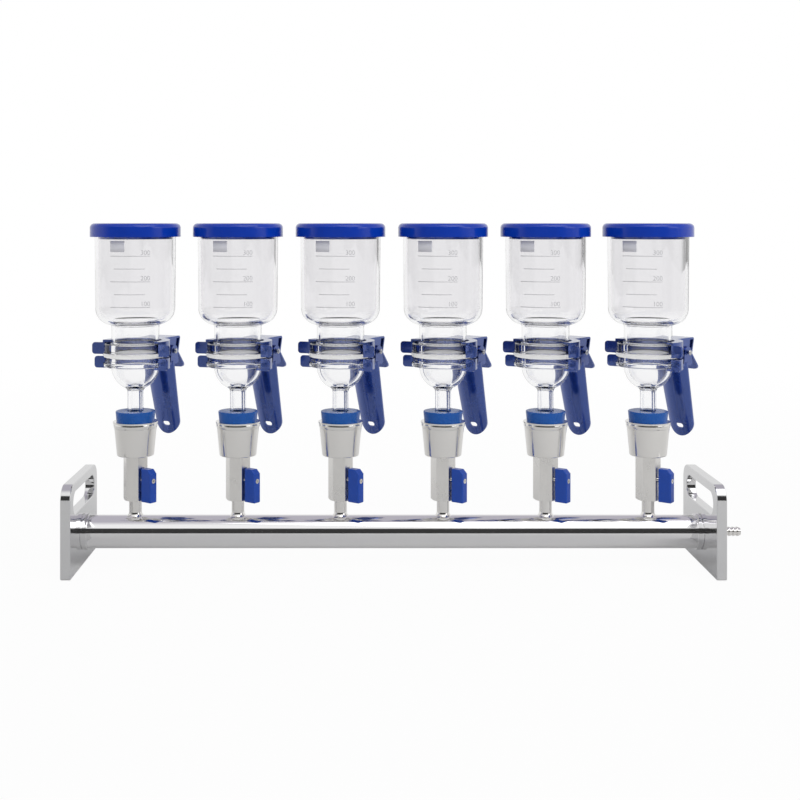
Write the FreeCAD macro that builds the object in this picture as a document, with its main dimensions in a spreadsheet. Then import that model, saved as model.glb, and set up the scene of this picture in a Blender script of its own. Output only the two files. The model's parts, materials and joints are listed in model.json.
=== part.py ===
import FreeCAD, Part
import math
import os
import re

import Sketcher
from FreeCAD import Placement, Rotation, Vector

# Six-branch vacuum filtration manifold. A stainless tube lies between two end plates that stand on the
# bench and serve as handles. Each branch carries a small ball valve, a conical cup with a stopper, and a
# glass filter holder: base, funnel, lid and a spring clamp that holds the two flanges together.
# Millimetres. X runs along the tube towards the hose barb, Y away from the reader, Z up.
# The origin is the middle of the left end plate's foot.

SIZES = {
    # layout
    "branch_count": 6,
    "branch_pitch": 100,
    "reading_distance": 1210,
    # end plates
    "plate_thickness": 9.5,
    "plate_depth": 120,
    "plate_height": 87,
    "plate_top_radius": 14,
    "plate_foot_radius": 2,
    "plate_edge_chamfer": 0.6,
    "grip_length": 94,
    "grip_height": 21,
    "grip_below_top": 19.5,
    # manifold tube and its end caps
    "tube_diameter": 31.8,
    "tube_wall": 1.65,
    "tube_axis_height": 31,
    "cap_length": 7,
    "cap_ring_diameter": 34.8,
    "cap_ring_width": 4,
    "cap_ring_inset": 1,
    "cap_spigot_length": 10,
    "cap_spigot_fit": 0.05,
    # hose barb
    "barb_reach": 30,
    "barb_bore": 5,
    "barb_shank_diameter": 10,
    "barb_collar_diameter": 14,
    "barb_collar_length": 4,
    "barb_collar_bevel": 0.8,
    "barb_root_diameter": 7.2,
    "barb_ridge_diameter": 9,
    "barb_ridge_pitch": 4,
    "barb_ridge_count": 6,
    "barb_ridge_slope": 0.7,
    "barb_ridge_foot": 0.85,
    # branch nipples
    "nipple_diameter": 12,
    "nipple_bore": 6,
    "nipple_fit": 0.05,
    "nipple_weld_diameter": 18,
    "nipple_weld_height": 3.5,
    "nipple_weld_radius": 6,
    "nipple_weld_sink": 4,
    "nipple_weld_edge": 1,
    "nipple_inset": 3,
    "nipple_collar_diameter": 13,
    "nipple_collar_height": 1.6,
    "nipple_rise": 15.4,
    "nipple_end_gap": 1,
    # ball valve
    "valve_height": 43.2,
    "valve_across_flats": 20.8,
    "valve_chamfer_angle": 30,
    "valve_stem_rise": 20.7,
    "valve_azimuth": -37,
    "port_diameter": 9.6,
    "port_depth": 9,
    "port_fit": 0.05,
    "ball_diameter": 12,
    "ball_bore": 6,
    "ball_clearance": 0.05,
    "seat_depth": 3.5,
    "seat_rim": 1.8,
    "cavity_diameter": 14,
    "stem_diameter": 5,
    "stem_clearance": 0.05,
    "stem_shoulder_diameter": 6.4,
    "stem_shoulder_end": 8.2,
    "stem_tang_width": 2,
    "stem_tang_depth": 1.4,
    "stem_tang_length": 4,
    "stem_ring_depth": 0.8,
    "stem_ring_width": 1.2,
    "stem_ring_place": 9,
    "stem_grip": 8,
    # valve handle
    "handle_gap": 1.8,
    "handle_reach": 13,
    "handle_width": 8.6,
    "handle_rise": 11,
    "handle_drop": 21,
    "handle_bevel": 4,
    "handle_edge_radius": 1,
    "screw_head_diameter": 4.6,
    "screw_head_height": 2.6,
    "screw_thread_diameter": 2.5,
    "screw_recess_fit": 0.1,
    "screw_socket_flats": 2,
    "screw_socket_depth": 1.4,
    "screw_socket_turn": 7,
    "screw_end_gap": 0.5,
    # cup and stopper
    "cup_height": 33.2,
    "cup_base_diameter": 35.6,
    "cup_top_diameter": 42,
    "cup_floor": 3,
    "cup_bore": 6,
    "cup_spigot_length": 8,
    "cup_lip_width": 0.7,
    "cup_lip_height": 1.8,
    "cup_lip_bevel": 0.4,
    "cup_foot_radius": 1.2,
    "stopper_top_diameter": 38.5,
    "stopper_rise": 10.1,
    "stopper_length": 26,
    "stopper_fit": 0.05,
    "stopper_edge_radius": 0.8,
    "stopper_bore_gap": 0.3,
    # filter base
    "stem_tube_diameter": 15.4,
    "stem_tube_bore": 10,
    "stem_tip_gap": 3,
    "bowl_diameter": 46.5,
    "bowl_wall": 3.5,
    "bowl_neck_radius": 5,
    "base_flange_diameter": 61.5,
    "base_rise": 43.6,
    "base_flange_thickness": 13.6,
    "base_rim_thickness": 4.4,
    "base_groove_depth": 2.2,
    "base_edge_radius": 1.2,
    "frit_diameter": 42,
    "frit_thickness": 5,
    # funnel
    "funnel_flange_diameter": 60,
    "funnel_flange_thickness": 9.2,
    "funnel_neck_diameter": 46.2,
    "funnel_shoulder_rise": 43,
    "funnel_neck_blend": 2.5,
    "funnel_shoulder_radius": 16,
    "funnel_body_diameter": 76.7,
    "funnel_mouth_diameter": 78.4,
    "funnel_wall": 3.1,
    "funnel_length": 123,
    "funnel_edge_radius": 1.4,
    # lid
    "lid_diameter": 87.4,
    "lid_skirt": 13,
    "lid_top_thickness": 2.5,
    "lid_wall": 2.4,
    "lid_edge_radius": 4.5,
    "lid_plug_gap": 0.6,
    "lid_plug_wall": 2,
    "lid_plug_drop": 2.2,
    # flange clamp
    "clamp_azimuth": 56,
    "jaw_sheet": 2,
    "jaw_half_angle": 104,
    "ear_inset_angle": 1.8,
    "jaw_flange_gap": 0.55,
    "jaw_face_gap": 0.3,
    "jaw_neck_gap": 2.2,
    "upper_skirt": 12.5,
    "lower_skirt": 8.3,
    "ear_length": 13,
    "ear_height": 11.5,
    "ear_lift": 0.5,
    "lower_ear_length": 10.5,
    "ear_corner_radius": 3,
    "pivot_stand_off": 15.7,
    "pivot_below_joint": 3,
    "pin_diameter": 3,
    "pin_clearance": 0.05,
    "pin_head_diameter": 5.4,
    "pin_head_height": 1.2,
    "lug_spacing": 21,
    "lug_radius": 6,
    "lug_length": 16,
    "lug_side_gap": 0.4,
    "spring_diameter": 8,
    "spring_bore": 4,
    "spring_length": 15,
    "tab_width": 28,
    "tab_stand_off": 13,
    "tab_waist_tuck": 4,
    "tab_waist_drop": 16,
    "tab_tip_lead": 11,
    "tab_drop": 33,
    "tab_corner_radius": 5,
    "tab_bend_radius": 2.2,
    "grip_top_width": 32,
    "grip_end_width": 27,
    "grip_drop": 77,
    "grip_set_back": 10.5,
    "grip_lean": 16.5,
    "grip_bow_radius": 24,
    "grip_hole_length": 8,
    "grip_hole_height": 5,
    "grip_hole_above_end": 11,
    # how far a cutting shape passes the face that it cuts
    "cut_margin": 1,
}

DERIVED = {
    "tube_length": "branch_count * branch_pitch",
    "inner_face": "plate_thickness / 2",
    "tube_radius": "tube_diameter / 2",
    "tube_bore_radius": "tube_radius - tube_wall",
    "tube_top": "tube_axis_height + tube_radius",
    "valve_base_height": "tube_top + nipple_rise",
    "valve_top_height": "valve_base_height + valve_height",
    "valve_stem_height": "valve_base_height + valve_stem_rise",
    "ball_radius": "ball_diameter / 2",
    "seat_sphere_radius": "ball_radius + ball_clearance",
    "seat_inner_height": "sqrt(seat_sphere_radius ^ 2 - (ball_bore / 2) ^ 2)",
    "seat_face_height": "seat_depth",
    "seat_face_radius": "sqrt(seat_sphere_radius ^ 2 - seat_face_height ^ 2)",
    "seat_back_height": "seat_inner_height + seat_rim",
    "cavity_radius": "cavity_diameter / 2",
    "valve_half_flat": "valve_across_flats / 2",
    "valve_corner": "valve_half_flat / cos(30)",
    "stem_radius": "stem_diameter / 2",
    "handle_inner": "valve_half_flat + handle_gap",
    "handle_outer": "handle_inner + handle_reach",
    "cup_rim_height": "valve_top_height + cup_height",
    "cup_slope": "(cup_top_diameter - cup_base_diameter) / 2 / cup_height",
    "stopper_top_height": "cup_rim_height + stopper_rise",
    "stopper_foot_height": "stopper_top_height - stopper_length",
    "stopper_top_radius": "stopper_top_diameter / 2",
    "stopper_foot_radius": "stopper_top_radius - cup_slope * stopper_length",
    "cup_seat_radius": "stopper_top_radius - cup_slope * stopper_rise + stopper_fit",
    "cup_floor_height": "valve_top_height + cup_floor",
    "cup_inner_foot_radius": "cup_seat_radius - cup_slope * (cup_height - cup_floor)",
    "stem_tube_radius": "stem_tube_diameter / 2",
    "stem_tip_height": "cup_floor_height + stem_tip_gap",
    "bowl_radius": "bowl_diameter / 2",
    "bowl_inner_radius": "bowl_radius - bowl_wall",
    "base_flange_height": "stopper_top_height + base_rise",
    "base_top_height": "base_flange_height + base_flange_thickness",
    "base_flange_radius": "base_flange_diameter / 2",
    "funnel_flange_top": "base_top_height + funnel_flange_thickness",
    "funnel_flange_radius": "funnel_flange_diameter / 2",
    "funnel_neck_radius": "funnel_neck_diameter / 2",
    "funnel_body_radius": "funnel_body_diameter / 2",
    "funnel_mouth_radius": "funnel_mouth_diameter / 2",
    "funnel_mouth_height": "base_top_height + funnel_length",
    "funnel_shoulder_top": "base_top_height + funnel_shoulder_rise",
    "funnel_inner_shoulder": "funnel_shoulder_radius - funnel_wall",
    "shoulder_centre": "funnel_body_radius - funnel_shoulder_radius",
    "blend_centre": "funnel_neck_radius + funnel_neck_blend",
    "blend_span": "funnel_neck_blend + funnel_shoulder_radius",
    "neck_top": "funnel_shoulder_top - sqrt(blend_span ^ 2 - (blend_centre - shoulder_centre) ^ 2)",
    "blend_share": "funnel_neck_blend / blend_span",
    "inner_blend_share": "(funnel_neck_blend + funnel_wall) / blend_span",
    "blend_end": "blend_centre - (blend_centre - shoulder_centre) * blend_share",
    "blend_end_height": "neck_top + (funnel_shoulder_top - neck_top) * blend_share",
    "inner_blend_end": "blend_centre - (blend_centre - shoulder_centre) * inner_blend_share",
    "inner_blend_height": "neck_top + (funnel_shoulder_top - neck_top) * inner_blend_share",
    "lid_radius": "lid_diameter / 2",
    "lid_top_height": "funnel_mouth_height + lid_top_thickness",
    "lid_skirt_height": "lid_top_height - lid_skirt",
    "lid_plug_radius": "funnel_mouth_radius - funnel_wall - lid_plug_gap",
    "jaw_radius": "base_flange_radius + jaw_flange_gap",
    "jaw_outer_radius": "jaw_radius + jaw_sheet",
    "pivot_reach": "jaw_outer_radius + pivot_stand_off",
    "pivot_height": "base_top_height - pivot_below_joint",
    "grip_reach": "pivot_reach - grip_set_back",
    "upper_plate_foot": "funnel_flange_top + jaw_face_gap",
    "upper_plate_top": "upper_plate_foot + jaw_sheet",
    "upper_skirt_foot": "upper_plate_foot - upper_skirt",
    "tab_reach": "pivot_reach + tab_stand_off",
    "tab_waist_reach": "tab_reach - tab_waist_tuck",
    "tab_waist_height": "upper_plate_top - tab_waist_drop",
    "tab_tip_reach": "tab_reach + tab_tip_lead",
    "tab_tip_height": "upper_plate_top - tab_drop",
    "lower_plate_top": "base_flange_height - jaw_face_gap",
    "lower_plate_foot": "lower_plate_top - jaw_sheet",
    "lower_skirt_top": "lower_plate_top + lower_skirt",
    "pin_radius": "pin_diameter / 2",
    "upper_lug_face": "lug_spacing / 2 + jaw_sheet",
    "lower_lug_face": "upper_lug_face + lug_side_gap",
    "lower_lug_outer": "lower_lug_face + jaw_sheet",
}

WORD = re.compile(r"[a-z_]+[a-z]\b(?!\()")

doc = FreeCAD.newDocument("vacuum_filtration_manifold")
sheet = doc.addObject("Spreadsheet::Sheet", "Sizes")


def fill_sheet():
    rows = list(SIZES.items()) + [(name, "=" + rule) for name, rule in DERIVED.items()]
    for row, (name, value) in enumerate(rows, start=1):
        sheet.set(f"A{row}", name)
        sheet.set(f"B{row}", str(value))
        sheet.setAlias(f"B{row}", name)
    doc.recompute()


def bound(rule):
    """The rule with each size's name pointing at its cell."""
    known = lambda found: "Sizes." + found.group(0) if is_size(found.group(0)) else found.group(0)
    return WORD.sub(known, rule)


def is_size(word):
    return word in SIZES or word in DERIVED


def value(rule):
    result = sheet.evalExpression(rule)
    return float(getattr(result, "Value", result))


def bind(thing, **rules):
    for path, rule in rules.items():
        thing.setExpression(path.replace("__", "."), bound(rule))


def new_body(name):
    body = doc.addObject("PartDesign::Body", name)
    body.AllowCompound = True
    return body


def origin_item(body, role):
    return next(item for item in body.Origin.OriginFeatures if item.Role == role)


def new_sketch(body, name, plane="XZ_Plane"):
    sketch = body.newObject("Sketcher::SketchObject", name)
    sketch.AttachmentSupport = [(origin_item(body, plane), "")]
    sketch.MapMode = "FlatFace"
    return sketch


def place_point(sketch, line, end, x, y):
    """Ties one end of a line to its place, given as two rules from the sketch's origin."""
    for kind, rule, axis in (("DistanceX", x, -2), ("DistanceY", y, -1)):
        if rule == "0":
            sketch.addConstraint(Sketcher.Constraint("PointOnObject", line, end, axis))
        else:
            number = sketch.addConstraint(Sketcher.Constraint(kind, -1, 1, line, end, value(rule)))
            sketch.setExpression(f"Constraints[{number}]", bound(rule))


def outline(sketch, points, closed=True):
    """A chain of lines and arcs. A point is (x, y), or (x, y, radius, side) where an arc starts there:
    its centre lies to the left (side 1) or to the right (side -1) of the way to the next point."""
    first = sketch.GeometryCount
    spots = [Vector(value(p[0]), value(p[1]), 0) for p in points]
    count = len(points) if closed else len(points) - 1
    backwards = []
    for i in range(count):
        start, end = spots[i], spots[(i + 1) % len(points)]
        if len(points[i]) == 2:
            sketch.addGeometry(Part.LineSegment(start, end), False)
            backwards.append(False)
            continue
        radius, side = value(points[i][2]), points[i][3]
        chord = end - start
        rise = math.sqrt(max(radius**2 - chord.Length**2 / 4, 0))
        left = Vector(-chord.y, chord.x, 0).normalize()
        centre = (start + end) * 0.5 + left * rise * side
        a = math.atan2(start.y - centre.y, start.x - centre.x)
        b = math.atan2(end.y - centre.y, end.x - centre.x)
        circle = Part.Circle(centre, Vector(0, 0, 1), radius)
        sketch.addGeometry(Part.ArcOfCircle(circle, *((a, b) if side > 0 else (b, a))), False)
        backwards.append(side < 0)
    for i in range(count):
        here, after = first + i, first + (i + 1) % count
        start_end = 2 if backwards[i] else 1
        far_end = 1 if backwards[i] else 2
        place_point(sketch, here, start_end, points[i][0], points[i][1])
        if i + 1 < count or closed:
            next_start = 2 if backwards[(i + 1) % count] else 1
            sketch.addConstraint(Sketcher.Constraint("Coincident", here, far_end, after, next_start))
        else:
            place_point(sketch, here, far_end, points[-1][0], points[-1][1])
        if len(points[i]) == 4:
            number = sketch.addConstraint(Sketcher.Constraint("Radius", here, value(points[i][2])))
            sketch.setExpression(f"Constraints[{number}]", bound(points[i][2]))
    return sketch


def circle(sketch, radius, x="0", y="0"):
    centre = Vector(value(x), value(y), 0)
    number = sketch.addGeometry(Part.Circle(centre, Vector(0, 0, 1), value(radius)), False)
    place_point(sketch, number, 3, x, y)
    size = sketch.addConstraint(Sketcher.Constraint("Radius", number, value(radius)))
    sketch.setExpression(f"Constraints[{size}]", bound(radius))
    return sketch


def box(low_x, low_y, high_x, high_y):
    return [(low_x, low_y), (high_x, low_y), (high_x, high_y), (low_x, high_y)]


def revolve(body, name, points, angle="360", cut=False):
    """Turns a half section, given as (radius, height), about the body's upright axis."""
    sketch = outline(new_sketch(body, name + "_section"), points)
    feature = body.newObject("PartDesign::Groove" if cut else "PartDesign::Revolution", name)
    feature.Profile = sketch
    feature.ReferenceAxis = (sketch, ["V_Axis"])
    feature.Midplane = angle != "360"
    bind(feature, Angle=angle)
    return feature


def spin(body, name, points, cut=False):
    """Turns a half section, given as (place along X, radius), about the body's X axis."""
    sketch = outline(new_sketch(body, name + "_section"), points)
    feature = body.newObject("PartDesign::Groove" if cut else "PartDesign::Revolution", name)
    feature.Profile = sketch
    feature.ReferenceAxis = (sketch, ["H_Axis"])
    feature.Angle = 360
    return feature


def pad(body, name, sketch, length):
    feature = body.newObject("PartDesign::Pad", name)
    feature.Profile = sketch
    feature.SideType = "Symmetric"
    bind(feature, Length=length)
    return feature


def pocket(body, name, sketch, length=None):
    """Cuts to both sides of the sketch: through everything, or over the stated length."""
    feature = body.newObject("PartDesign::Pocket", name)
    feature.Profile = sketch
    feature.SideType = "Symmetric"
    if length is None:
        feature.Type = "ThroughAll"
    else:
        bind(feature, Length=length)
    return feature


def round_edges(body, base, name, radius, chosen, kind="Fillet"):
    """Rounds or chamfers the base's edges that the test picks."""
    doc.recompute()
    names = [f"Edge{i}" for i, edge in enumerate(base.Shape.Edges, start=1) if chosen(edge)]
    feature = body.newObject("PartDesign::" + kind, name)
    feature.Base = (base, names)
    bind(feature, **{"Radius" if kind == "Fillet" else "Size": radius})
    return feature


def ring_at(*rings):
    """Picks the circular edges at the given (radius, height) rules."""
    wanted = [(value(r), value(z)) for r, z in rings]

    def chosen(edge):
        if not isinstance(edge.Curve, Part.Circle):
            return False
        middle = edge.valueAt((edge.FirstParameter + edge.LastParameter) / 2)
        here = (math.hypot(middle.x, middle.y), middle.z)
        return any(math.dist(here, spot) < 0.02 for spot in wanted)

    return chosen


def put(thing, x="0", y="0", z="0", turn=None, axis=Vector(0, 0, 1)):
    if turn is not None:
        thing.Placement = Placement(Vector(), Rotation(axis, value(turn)))
        bind(thing, Placement__Rotation__Angle=turn)
    bind(thing, Placement__Base__x=x, Placement__Base__y=y, Placement__Base__z=z)
    return thing


def copy_of(master, name, **place):
    """A placed copy that follows its master."""
    copy = doc.addObject("Part::Compound", name)
    copy.Links = [master]
    return put(copy, **place)


def joined(name, pieces):
    whole = doc.addObject("Part::MultiFuse", name)
    whole.Shapes = pieces
    whole.Refine = True
    return whole


def grouped(name, pieces):
    group = doc.addObject("Part::Compound", name)
    group.Links = pieces
    return group


def cut_from(name, base, tool):
    result = doc.addObject("Part::Cut", name)
    result.Base = base
    result.Tool = tool
    return result


def branch_x(k):
    return f"inner_face + branch_pitch * ({k} - 0.5)"


def branch_turn(k):
    """Each holder is turned on its stopper until its scale faces one reader before the middle."""
    return f"atan((branch_count + 1 - 2 * {k}) / 2 * branch_pitch / reading_distance)"


def at_branches(master, name, turn=None):
    """One copy of the master at each branch, turned by a rule or by a function of the branch number."""
    copies = []
    for k in range(1, SIZES["branch_count"] + 1):
        rule = turn(k) if callable(turn) else turn
        copies.append(copy_of(master, f"{name}_{k}", x=branch_x(k), turn=rule))
    return copies


# End plates


def end_plate(name, x, bored):
    """An upright plate across the tube's end, with the long hand slot above the tube."""
    body = new_body(name)
    half = "plate_depth / 2"
    face = new_sketch(body, name + "_face", "YZ_Plane")
    outline(face, box("-" + half, "0", half, "plate_height"))
    slab = pad(body, name + "_slab", face, "plate_thickness")
    top = value("plate_height")

    def upper_corner(edge):
        return across(edge) and edge.CenterOfMass.z > top - 1

    def lower_corner(edge):
        return across(edge) and edge.CenterOfMass.z < 1

    rounded = round_edges(body, slab, name + "_top_corners", "plate_top_radius", upper_corner)
    rounded = round_edges(body, rounded, name + "_feet", "plate_foot_radius", lower_corner)
    grip = new_sketch(body, name + "_grip", "YZ_Plane")
    end = "(grip_length - grip_height) / 2"
    low = "plate_height - grip_below_top - grip_height / 2"
    high = "plate_height - grip_below_top + grip_height / 2"
    middle = "plate_height - grip_below_top"
    outline(
        grip,
        [
            ("-" + end, low),
            (end, low, "grip_height / 2", 1),
            (end + " + grip_height / 2", middle, "grip_height / 2", 1),
            (end, high),
            ("-" + end, high, "grip_height / 2", 1),
            ("-" + end + " - grip_height / 2", middle, "grip_height / 2", 1),
        ],
    )
    slotted = pocket(body, name + "_slot", grip)
    last = slotted
    if bored:
        hole = new_sketch(body, name + "_outlet_circle", "YZ_Plane")
        circle(hole, "barb_shank_diameter / 2", "0", "tube_axis_height")
        last = pocket(body, name + "_outlet", hole)
    edge_x = value("plate_thickness") / 2
    bore_reach = value("barb_shank_diameter")
    axis_z = value("tube_axis_height")

    def face_edge(edge):
        box_of = edge.BoundBox
        on_face = abs(abs(box_of.Center.x) - edge_x) < 0.01 and box_of.XLength < 0.01
        near_outlet = math.hypot(box_of.Center.y, box_of.Center.z - axis_z) < bore_reach
        return on_face and not near_outlet

    round_edges(body, last, name + "_edges", "plate_edge_chamfer", face_edge, "Chamfer")
    return put(body, x=x)


def across(edge):
    """True for a straight edge that runs through the plate's thickness."""
    size = edge.BoundBox
    return size.YLength < 0.01 and size.ZLength < 0.01


# Manifold tube


def manifold_tube():
    """The tube between the two end caps, with a hole for each nipple along its top."""
    body = new_body("manifold_tube")
    start = "inner_face + cap_length"
    end = "inner_face + tube_length - cap_length"
    spin(body, "tube_wall_turned", box(start, "tube_bore_radius", end, "tube_radius"))
    hole = new_sketch(body, "nipple_hole", "XY_Plane")
    circle(hole, "nipple_diameter / 2 + nipple_fit", branch_x(1))
    drilled = body.newObject("PartDesign::Pocket", "first_hole")
    drilled.Profile = hole
    drilled.Reversed = True
    bind(drilled, Length="tube_diameter")
    row = body.newObject("PartDesign::LinearPattern", "hole_row")
    row.Originals = [drilled]
    row.Direction = (origin_item(body, "X_Axis"), [""])
    bind(row, Length="branch_pitch * (branch_count - 1)", Occurrences="branch_count")
    body.Tip = row
    return put(body, z="tube_axis_height")


def end_caps():
    """Two turned caps. A ring stands proud where tube and plate meet, and a spigot fills the tube's end."""
    body = new_body("end_caps")
    face = "tube_length / 2"
    tube_end = face + " - cap_length"
    ring_far = face + " - cap_ring_inset"
    ring_near = ring_far + " - cap_ring_width"
    spigot = "tube_bore_radius - cap_spigot_fit"
    bore = "barb_shank_diameter / 2"
    points = [
        (tube_end + " - cap_spigot_length", bore),
        (face, bore),
        (face, "tube_radius"),
        (ring_far, "tube_radius"),
        (ring_far, "cap_ring_diameter / 2"),
        (ring_near, "cap_ring_diameter / 2"),
        (ring_near, "tube_radius"),
        (tube_end, "tube_radius"),
        (tube_end, spigot),
        (tube_end + " - cap_spigot_length", spigot),
    ]
    cap = spin(body, "cap_turned", points)
    other = body.newObject("PartDesign::Mirrored", "other_cap")
    other.Originals = [cap]
    other.MirrorPlane = (origin_item(body, "YZ_Plane"), [""])
    body.Tip = other
    return put(body, x="inner_face + tube_length / 2", z="tube_axis_height")


def hose_barb():
    """The outlet: a shank through the right end plate and its cap, a collar, and a ridged tail for a hose."""
    body = new_body("hose_barb")
    inside = "0 - plate_thickness - cap_length"
    bore = "barb_bore / 2"
    root = "barb_root_diameter / 2"
    shank = "barb_shank_diameter / 2"
    collar = "barb_collar_diameter / 2"
    tail = [(inside, bore), ("barb_reach", bore)]
    for ridge in range(int(SIZES["barb_ridge_count"])):
        tip = f"barb_reach - {ridge} * barb_ridge_pitch"
        tail.append((tip, root))
        tail.append((tip + " - barb_ridge_slope * barb_ridge_pitch", "barb_ridge_diameter / 2"))
        tail.append((tip + " - barb_ridge_foot * barb_ridge_pitch", "barb_ridge_diameter / 2"))
        tail.append((tip + " - barb_ridge_foot * barb_ridge_pitch", root))
    tail += [("barb_collar_length", root), ("barb_collar_length", collar), ("0", collar)]
    tail += [("0", shank), (inside, shank)]
    turned = spin(body, "barb_turned", tail)
    reach = value("barb_collar_length")

    def collar_rim(edge):
        return abs(edge.BoundBox.Center.x - reach) < 0.01 and edge.BoundBox.YLength > 2 * value(root) + 1

    round_edges(body, turned, "collar_bevel", "barb_collar_bevel", collar_rim, "Chamfer")
    return put(body, x="inner_face + tube_length + plate_thickness", z="tube_axis_height")


# Branch nipples and ball valves


def branch_nipple():
    """A short tube whose flared foot sits on the manifold tube and whose top screws into the valve."""
    body = new_body("nipple_master")
    outer = "nipple_diameter / 2"
    foot = "tube_axis_height + tube_bore_radius - nipple_inset"
    weld_foot = "tube_top - nipple_weld_sink"
    weld_top = "tube_top + nipple_weld_height"
    thread = "port_diameter / 2 - port_fit"
    turned = revolve(
        body,
        "nipple_turned",
        [
            ("nipple_bore / 2", weld_foot),
            ("nipple_weld_diameter / 2", weld_foot),
            ("nipple_weld_diameter / 2", "tube_top - nipple_weld_edge", "nipple_weld_radius", -1),
            (outer, weld_top),
            (outer, "valve_base_height - nipple_collar_height"),
            ("nipple_collar_diameter / 2", "valve_base_height - nipple_collar_height"),
            ("nipple_collar_diameter / 2", "valve_base_height"),
            (thread, "valve_base_height"),
            (thread, "valve_base_height + port_depth - nipple_end_gap"),
            ("nipple_bore / 2", "valve_base_height + port_depth - nipple_end_gap"),
        ],
    )
    saddle = new_sketch(body, "saddle_circle", "YZ_Plane")
    circle(saddle, "tube_radius", "0", "tube_axis_height")
    pocket(body, "saddle", saddle)
    revolve(
        body,
        "nipple_spigot",
        box("nipple_bore / 2", foot, outer, "tube_top + nipple_weld_edge"),
    )
    return body


def valve_body():
    """A hexagonal bar with chamfered ends. Its bore takes the nipple, the lower seat, the ball and the insert."""
    body = new_body("valve_master")
    hexagon = new_sketch(body, "hexagon", "XY_Plane")
    flat, half_side = "valve_half_flat", "valve_half_flat * tan(30)"
    outline(
        hexagon,
        [
            (flat, "0 - " + half_side),
            (flat, half_side),
            ("0", "valve_corner"),
            ("0 - " + flat, half_side),
            ("0 - " + flat, "0 - " + half_side),
            ("0", "0 - valve_corner"),
        ],
    )
    bar = body.newObject("PartDesign::Pad", "hexagonal_bar")
    bar.Profile = hexagon
    bind(bar, Length="valve_height")
    far = "valve_corner + cut_margin"
    rise = f"({far} - valve_half_flat) * tan(valve_chamfer_angle)"
    revolve(body, "lower_chamfer", [("valve_half_flat", "0"), (far, "0"), (far, rise)], cut=True)
    top = "valve_height"
    upper = [("valve_half_flat", top), (far, top), (far, top + " - " + rise)]
    revolve(body, "upper_chamfer", upper, cut=True)
    middle = "valve_stem_height - valve_base_height"
    shoulder = middle + " - seat_back_height"
    bore = [
        ("0", "0"),
        ("port_diameter / 2", "0"),
        ("port_diameter / 2", "port_depth"),
        ("ball_bore / 2", "port_depth"),
        ("ball_bore / 2", shoulder),
        ("cavity_radius", shoulder),
        ("cavity_radius", top),
        ("0", top),
    ]
    revolve(body, "valve_bore", bore, cut=True)
    hole = new_sketch(body, "stem_hole_section", "XZ_Plane")
    outline(
        hole,
        [
            ("ball_radius", middle),
            ("valve_corner", middle),
            ("valve_corner", middle + " + stem_radius + stem_clearance"),
            ("stem_shoulder_end", middle + " + stem_radius + stem_clearance"),
            ("stem_shoulder_end", middle + " + stem_shoulder_diameter / 2 + stem_clearance"),
            ("ball_radius", middle + " + stem_shoulder_diameter / 2 + stem_clearance"),
        ],
    )
    axis = hole.addGeometry(Part.LineSegment(Vector(0, value(middle), 0), Vector(value("valve_corner"), value(middle), 0)), True)
    place_point(hole, axis, 1, "0", middle)
    place_point(hole, axis, 2, "valve_corner", middle)
    drilled = body.newObject("PartDesign::Groove", "stem_hole")
    drilled.Profile = hole
    drilled.ReferenceAxis = (hole, ["Axis0"])
    drilled.Angle = 360
    return put(body, z="valve_base_height")


def valve_insert():
    """The retaining insert that closes the valve's bore, carries the upper seat and takes the cup's spigot."""
    body = new_body("insert_master")
    foot = "valve_stem_height + seat_back_height"
    revolve(
        body,
        "insert_turned",
        [
            ("ball_bore / 2", foot),
            ("cavity_radius - port_fit", foot),
            ("cavity_radius - port_fit", "valve_top_height"),
            ("port_diameter / 2", "valve_top_height"),
            ("port_diameter / 2", "valve_top_height - port_depth"),
            ("ball_bore / 2", "valve_top_height - port_depth"),
        ],
    )
    return body


def ball_seat(name, side):
    """A PTFE ring with a spherical face, below or above the ball."""
    body = new_body(name)
    level = f"valve_stem_height {side} "
    points = [
        ("ball_bore / 2", level + "seat_back_height"),
        ("cavity_radius - port_fit", level + "seat_back_height"),
        ("cavity_radius - port_fit", level + "seat_face_height"),
        ("seat_face_radius", level + "seat_face_height", "seat_sphere_radius", -1 if side == "-" else 1),
        ("ball_bore / 2", level + "seat_inner_height"),
    ]
    revolve(body, name + "_turned", points)
    return body


def ball():
    """The drilled ball, with the slot that the stem's tang turns."""
    sphere = doc.addObject("Part::Sphere", "ball_sphere")
    bind(sphere, Radius="ball_radius")
    put(sphere, z="valve_stem_height")
    bore = doc.addObject("Part::Cylinder", "ball_drilling")
    bind(bore, Radius="ball_bore / 2", Height="2 * ball_diameter")
    put(bore, z="valve_stem_height - ball_diameter")
    slot = doc.addObject("Part::Box", "ball_slot")
    bind(slot, Length="ball_radius", Width="ball_diameter", Height="stem_tang_width + 2 * stem_clearance")
    slot_z = "valve_stem_height - stem_tang_width / 2 - stem_clearance"
    put(slot, x="ball_radius - stem_tang_depth", y="0 - ball_radius", z=slot_z)
    drilled = cut_from("drilled_ball", sphere, bore)
    return cut_from("ball_master", drilled, slot)


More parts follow.
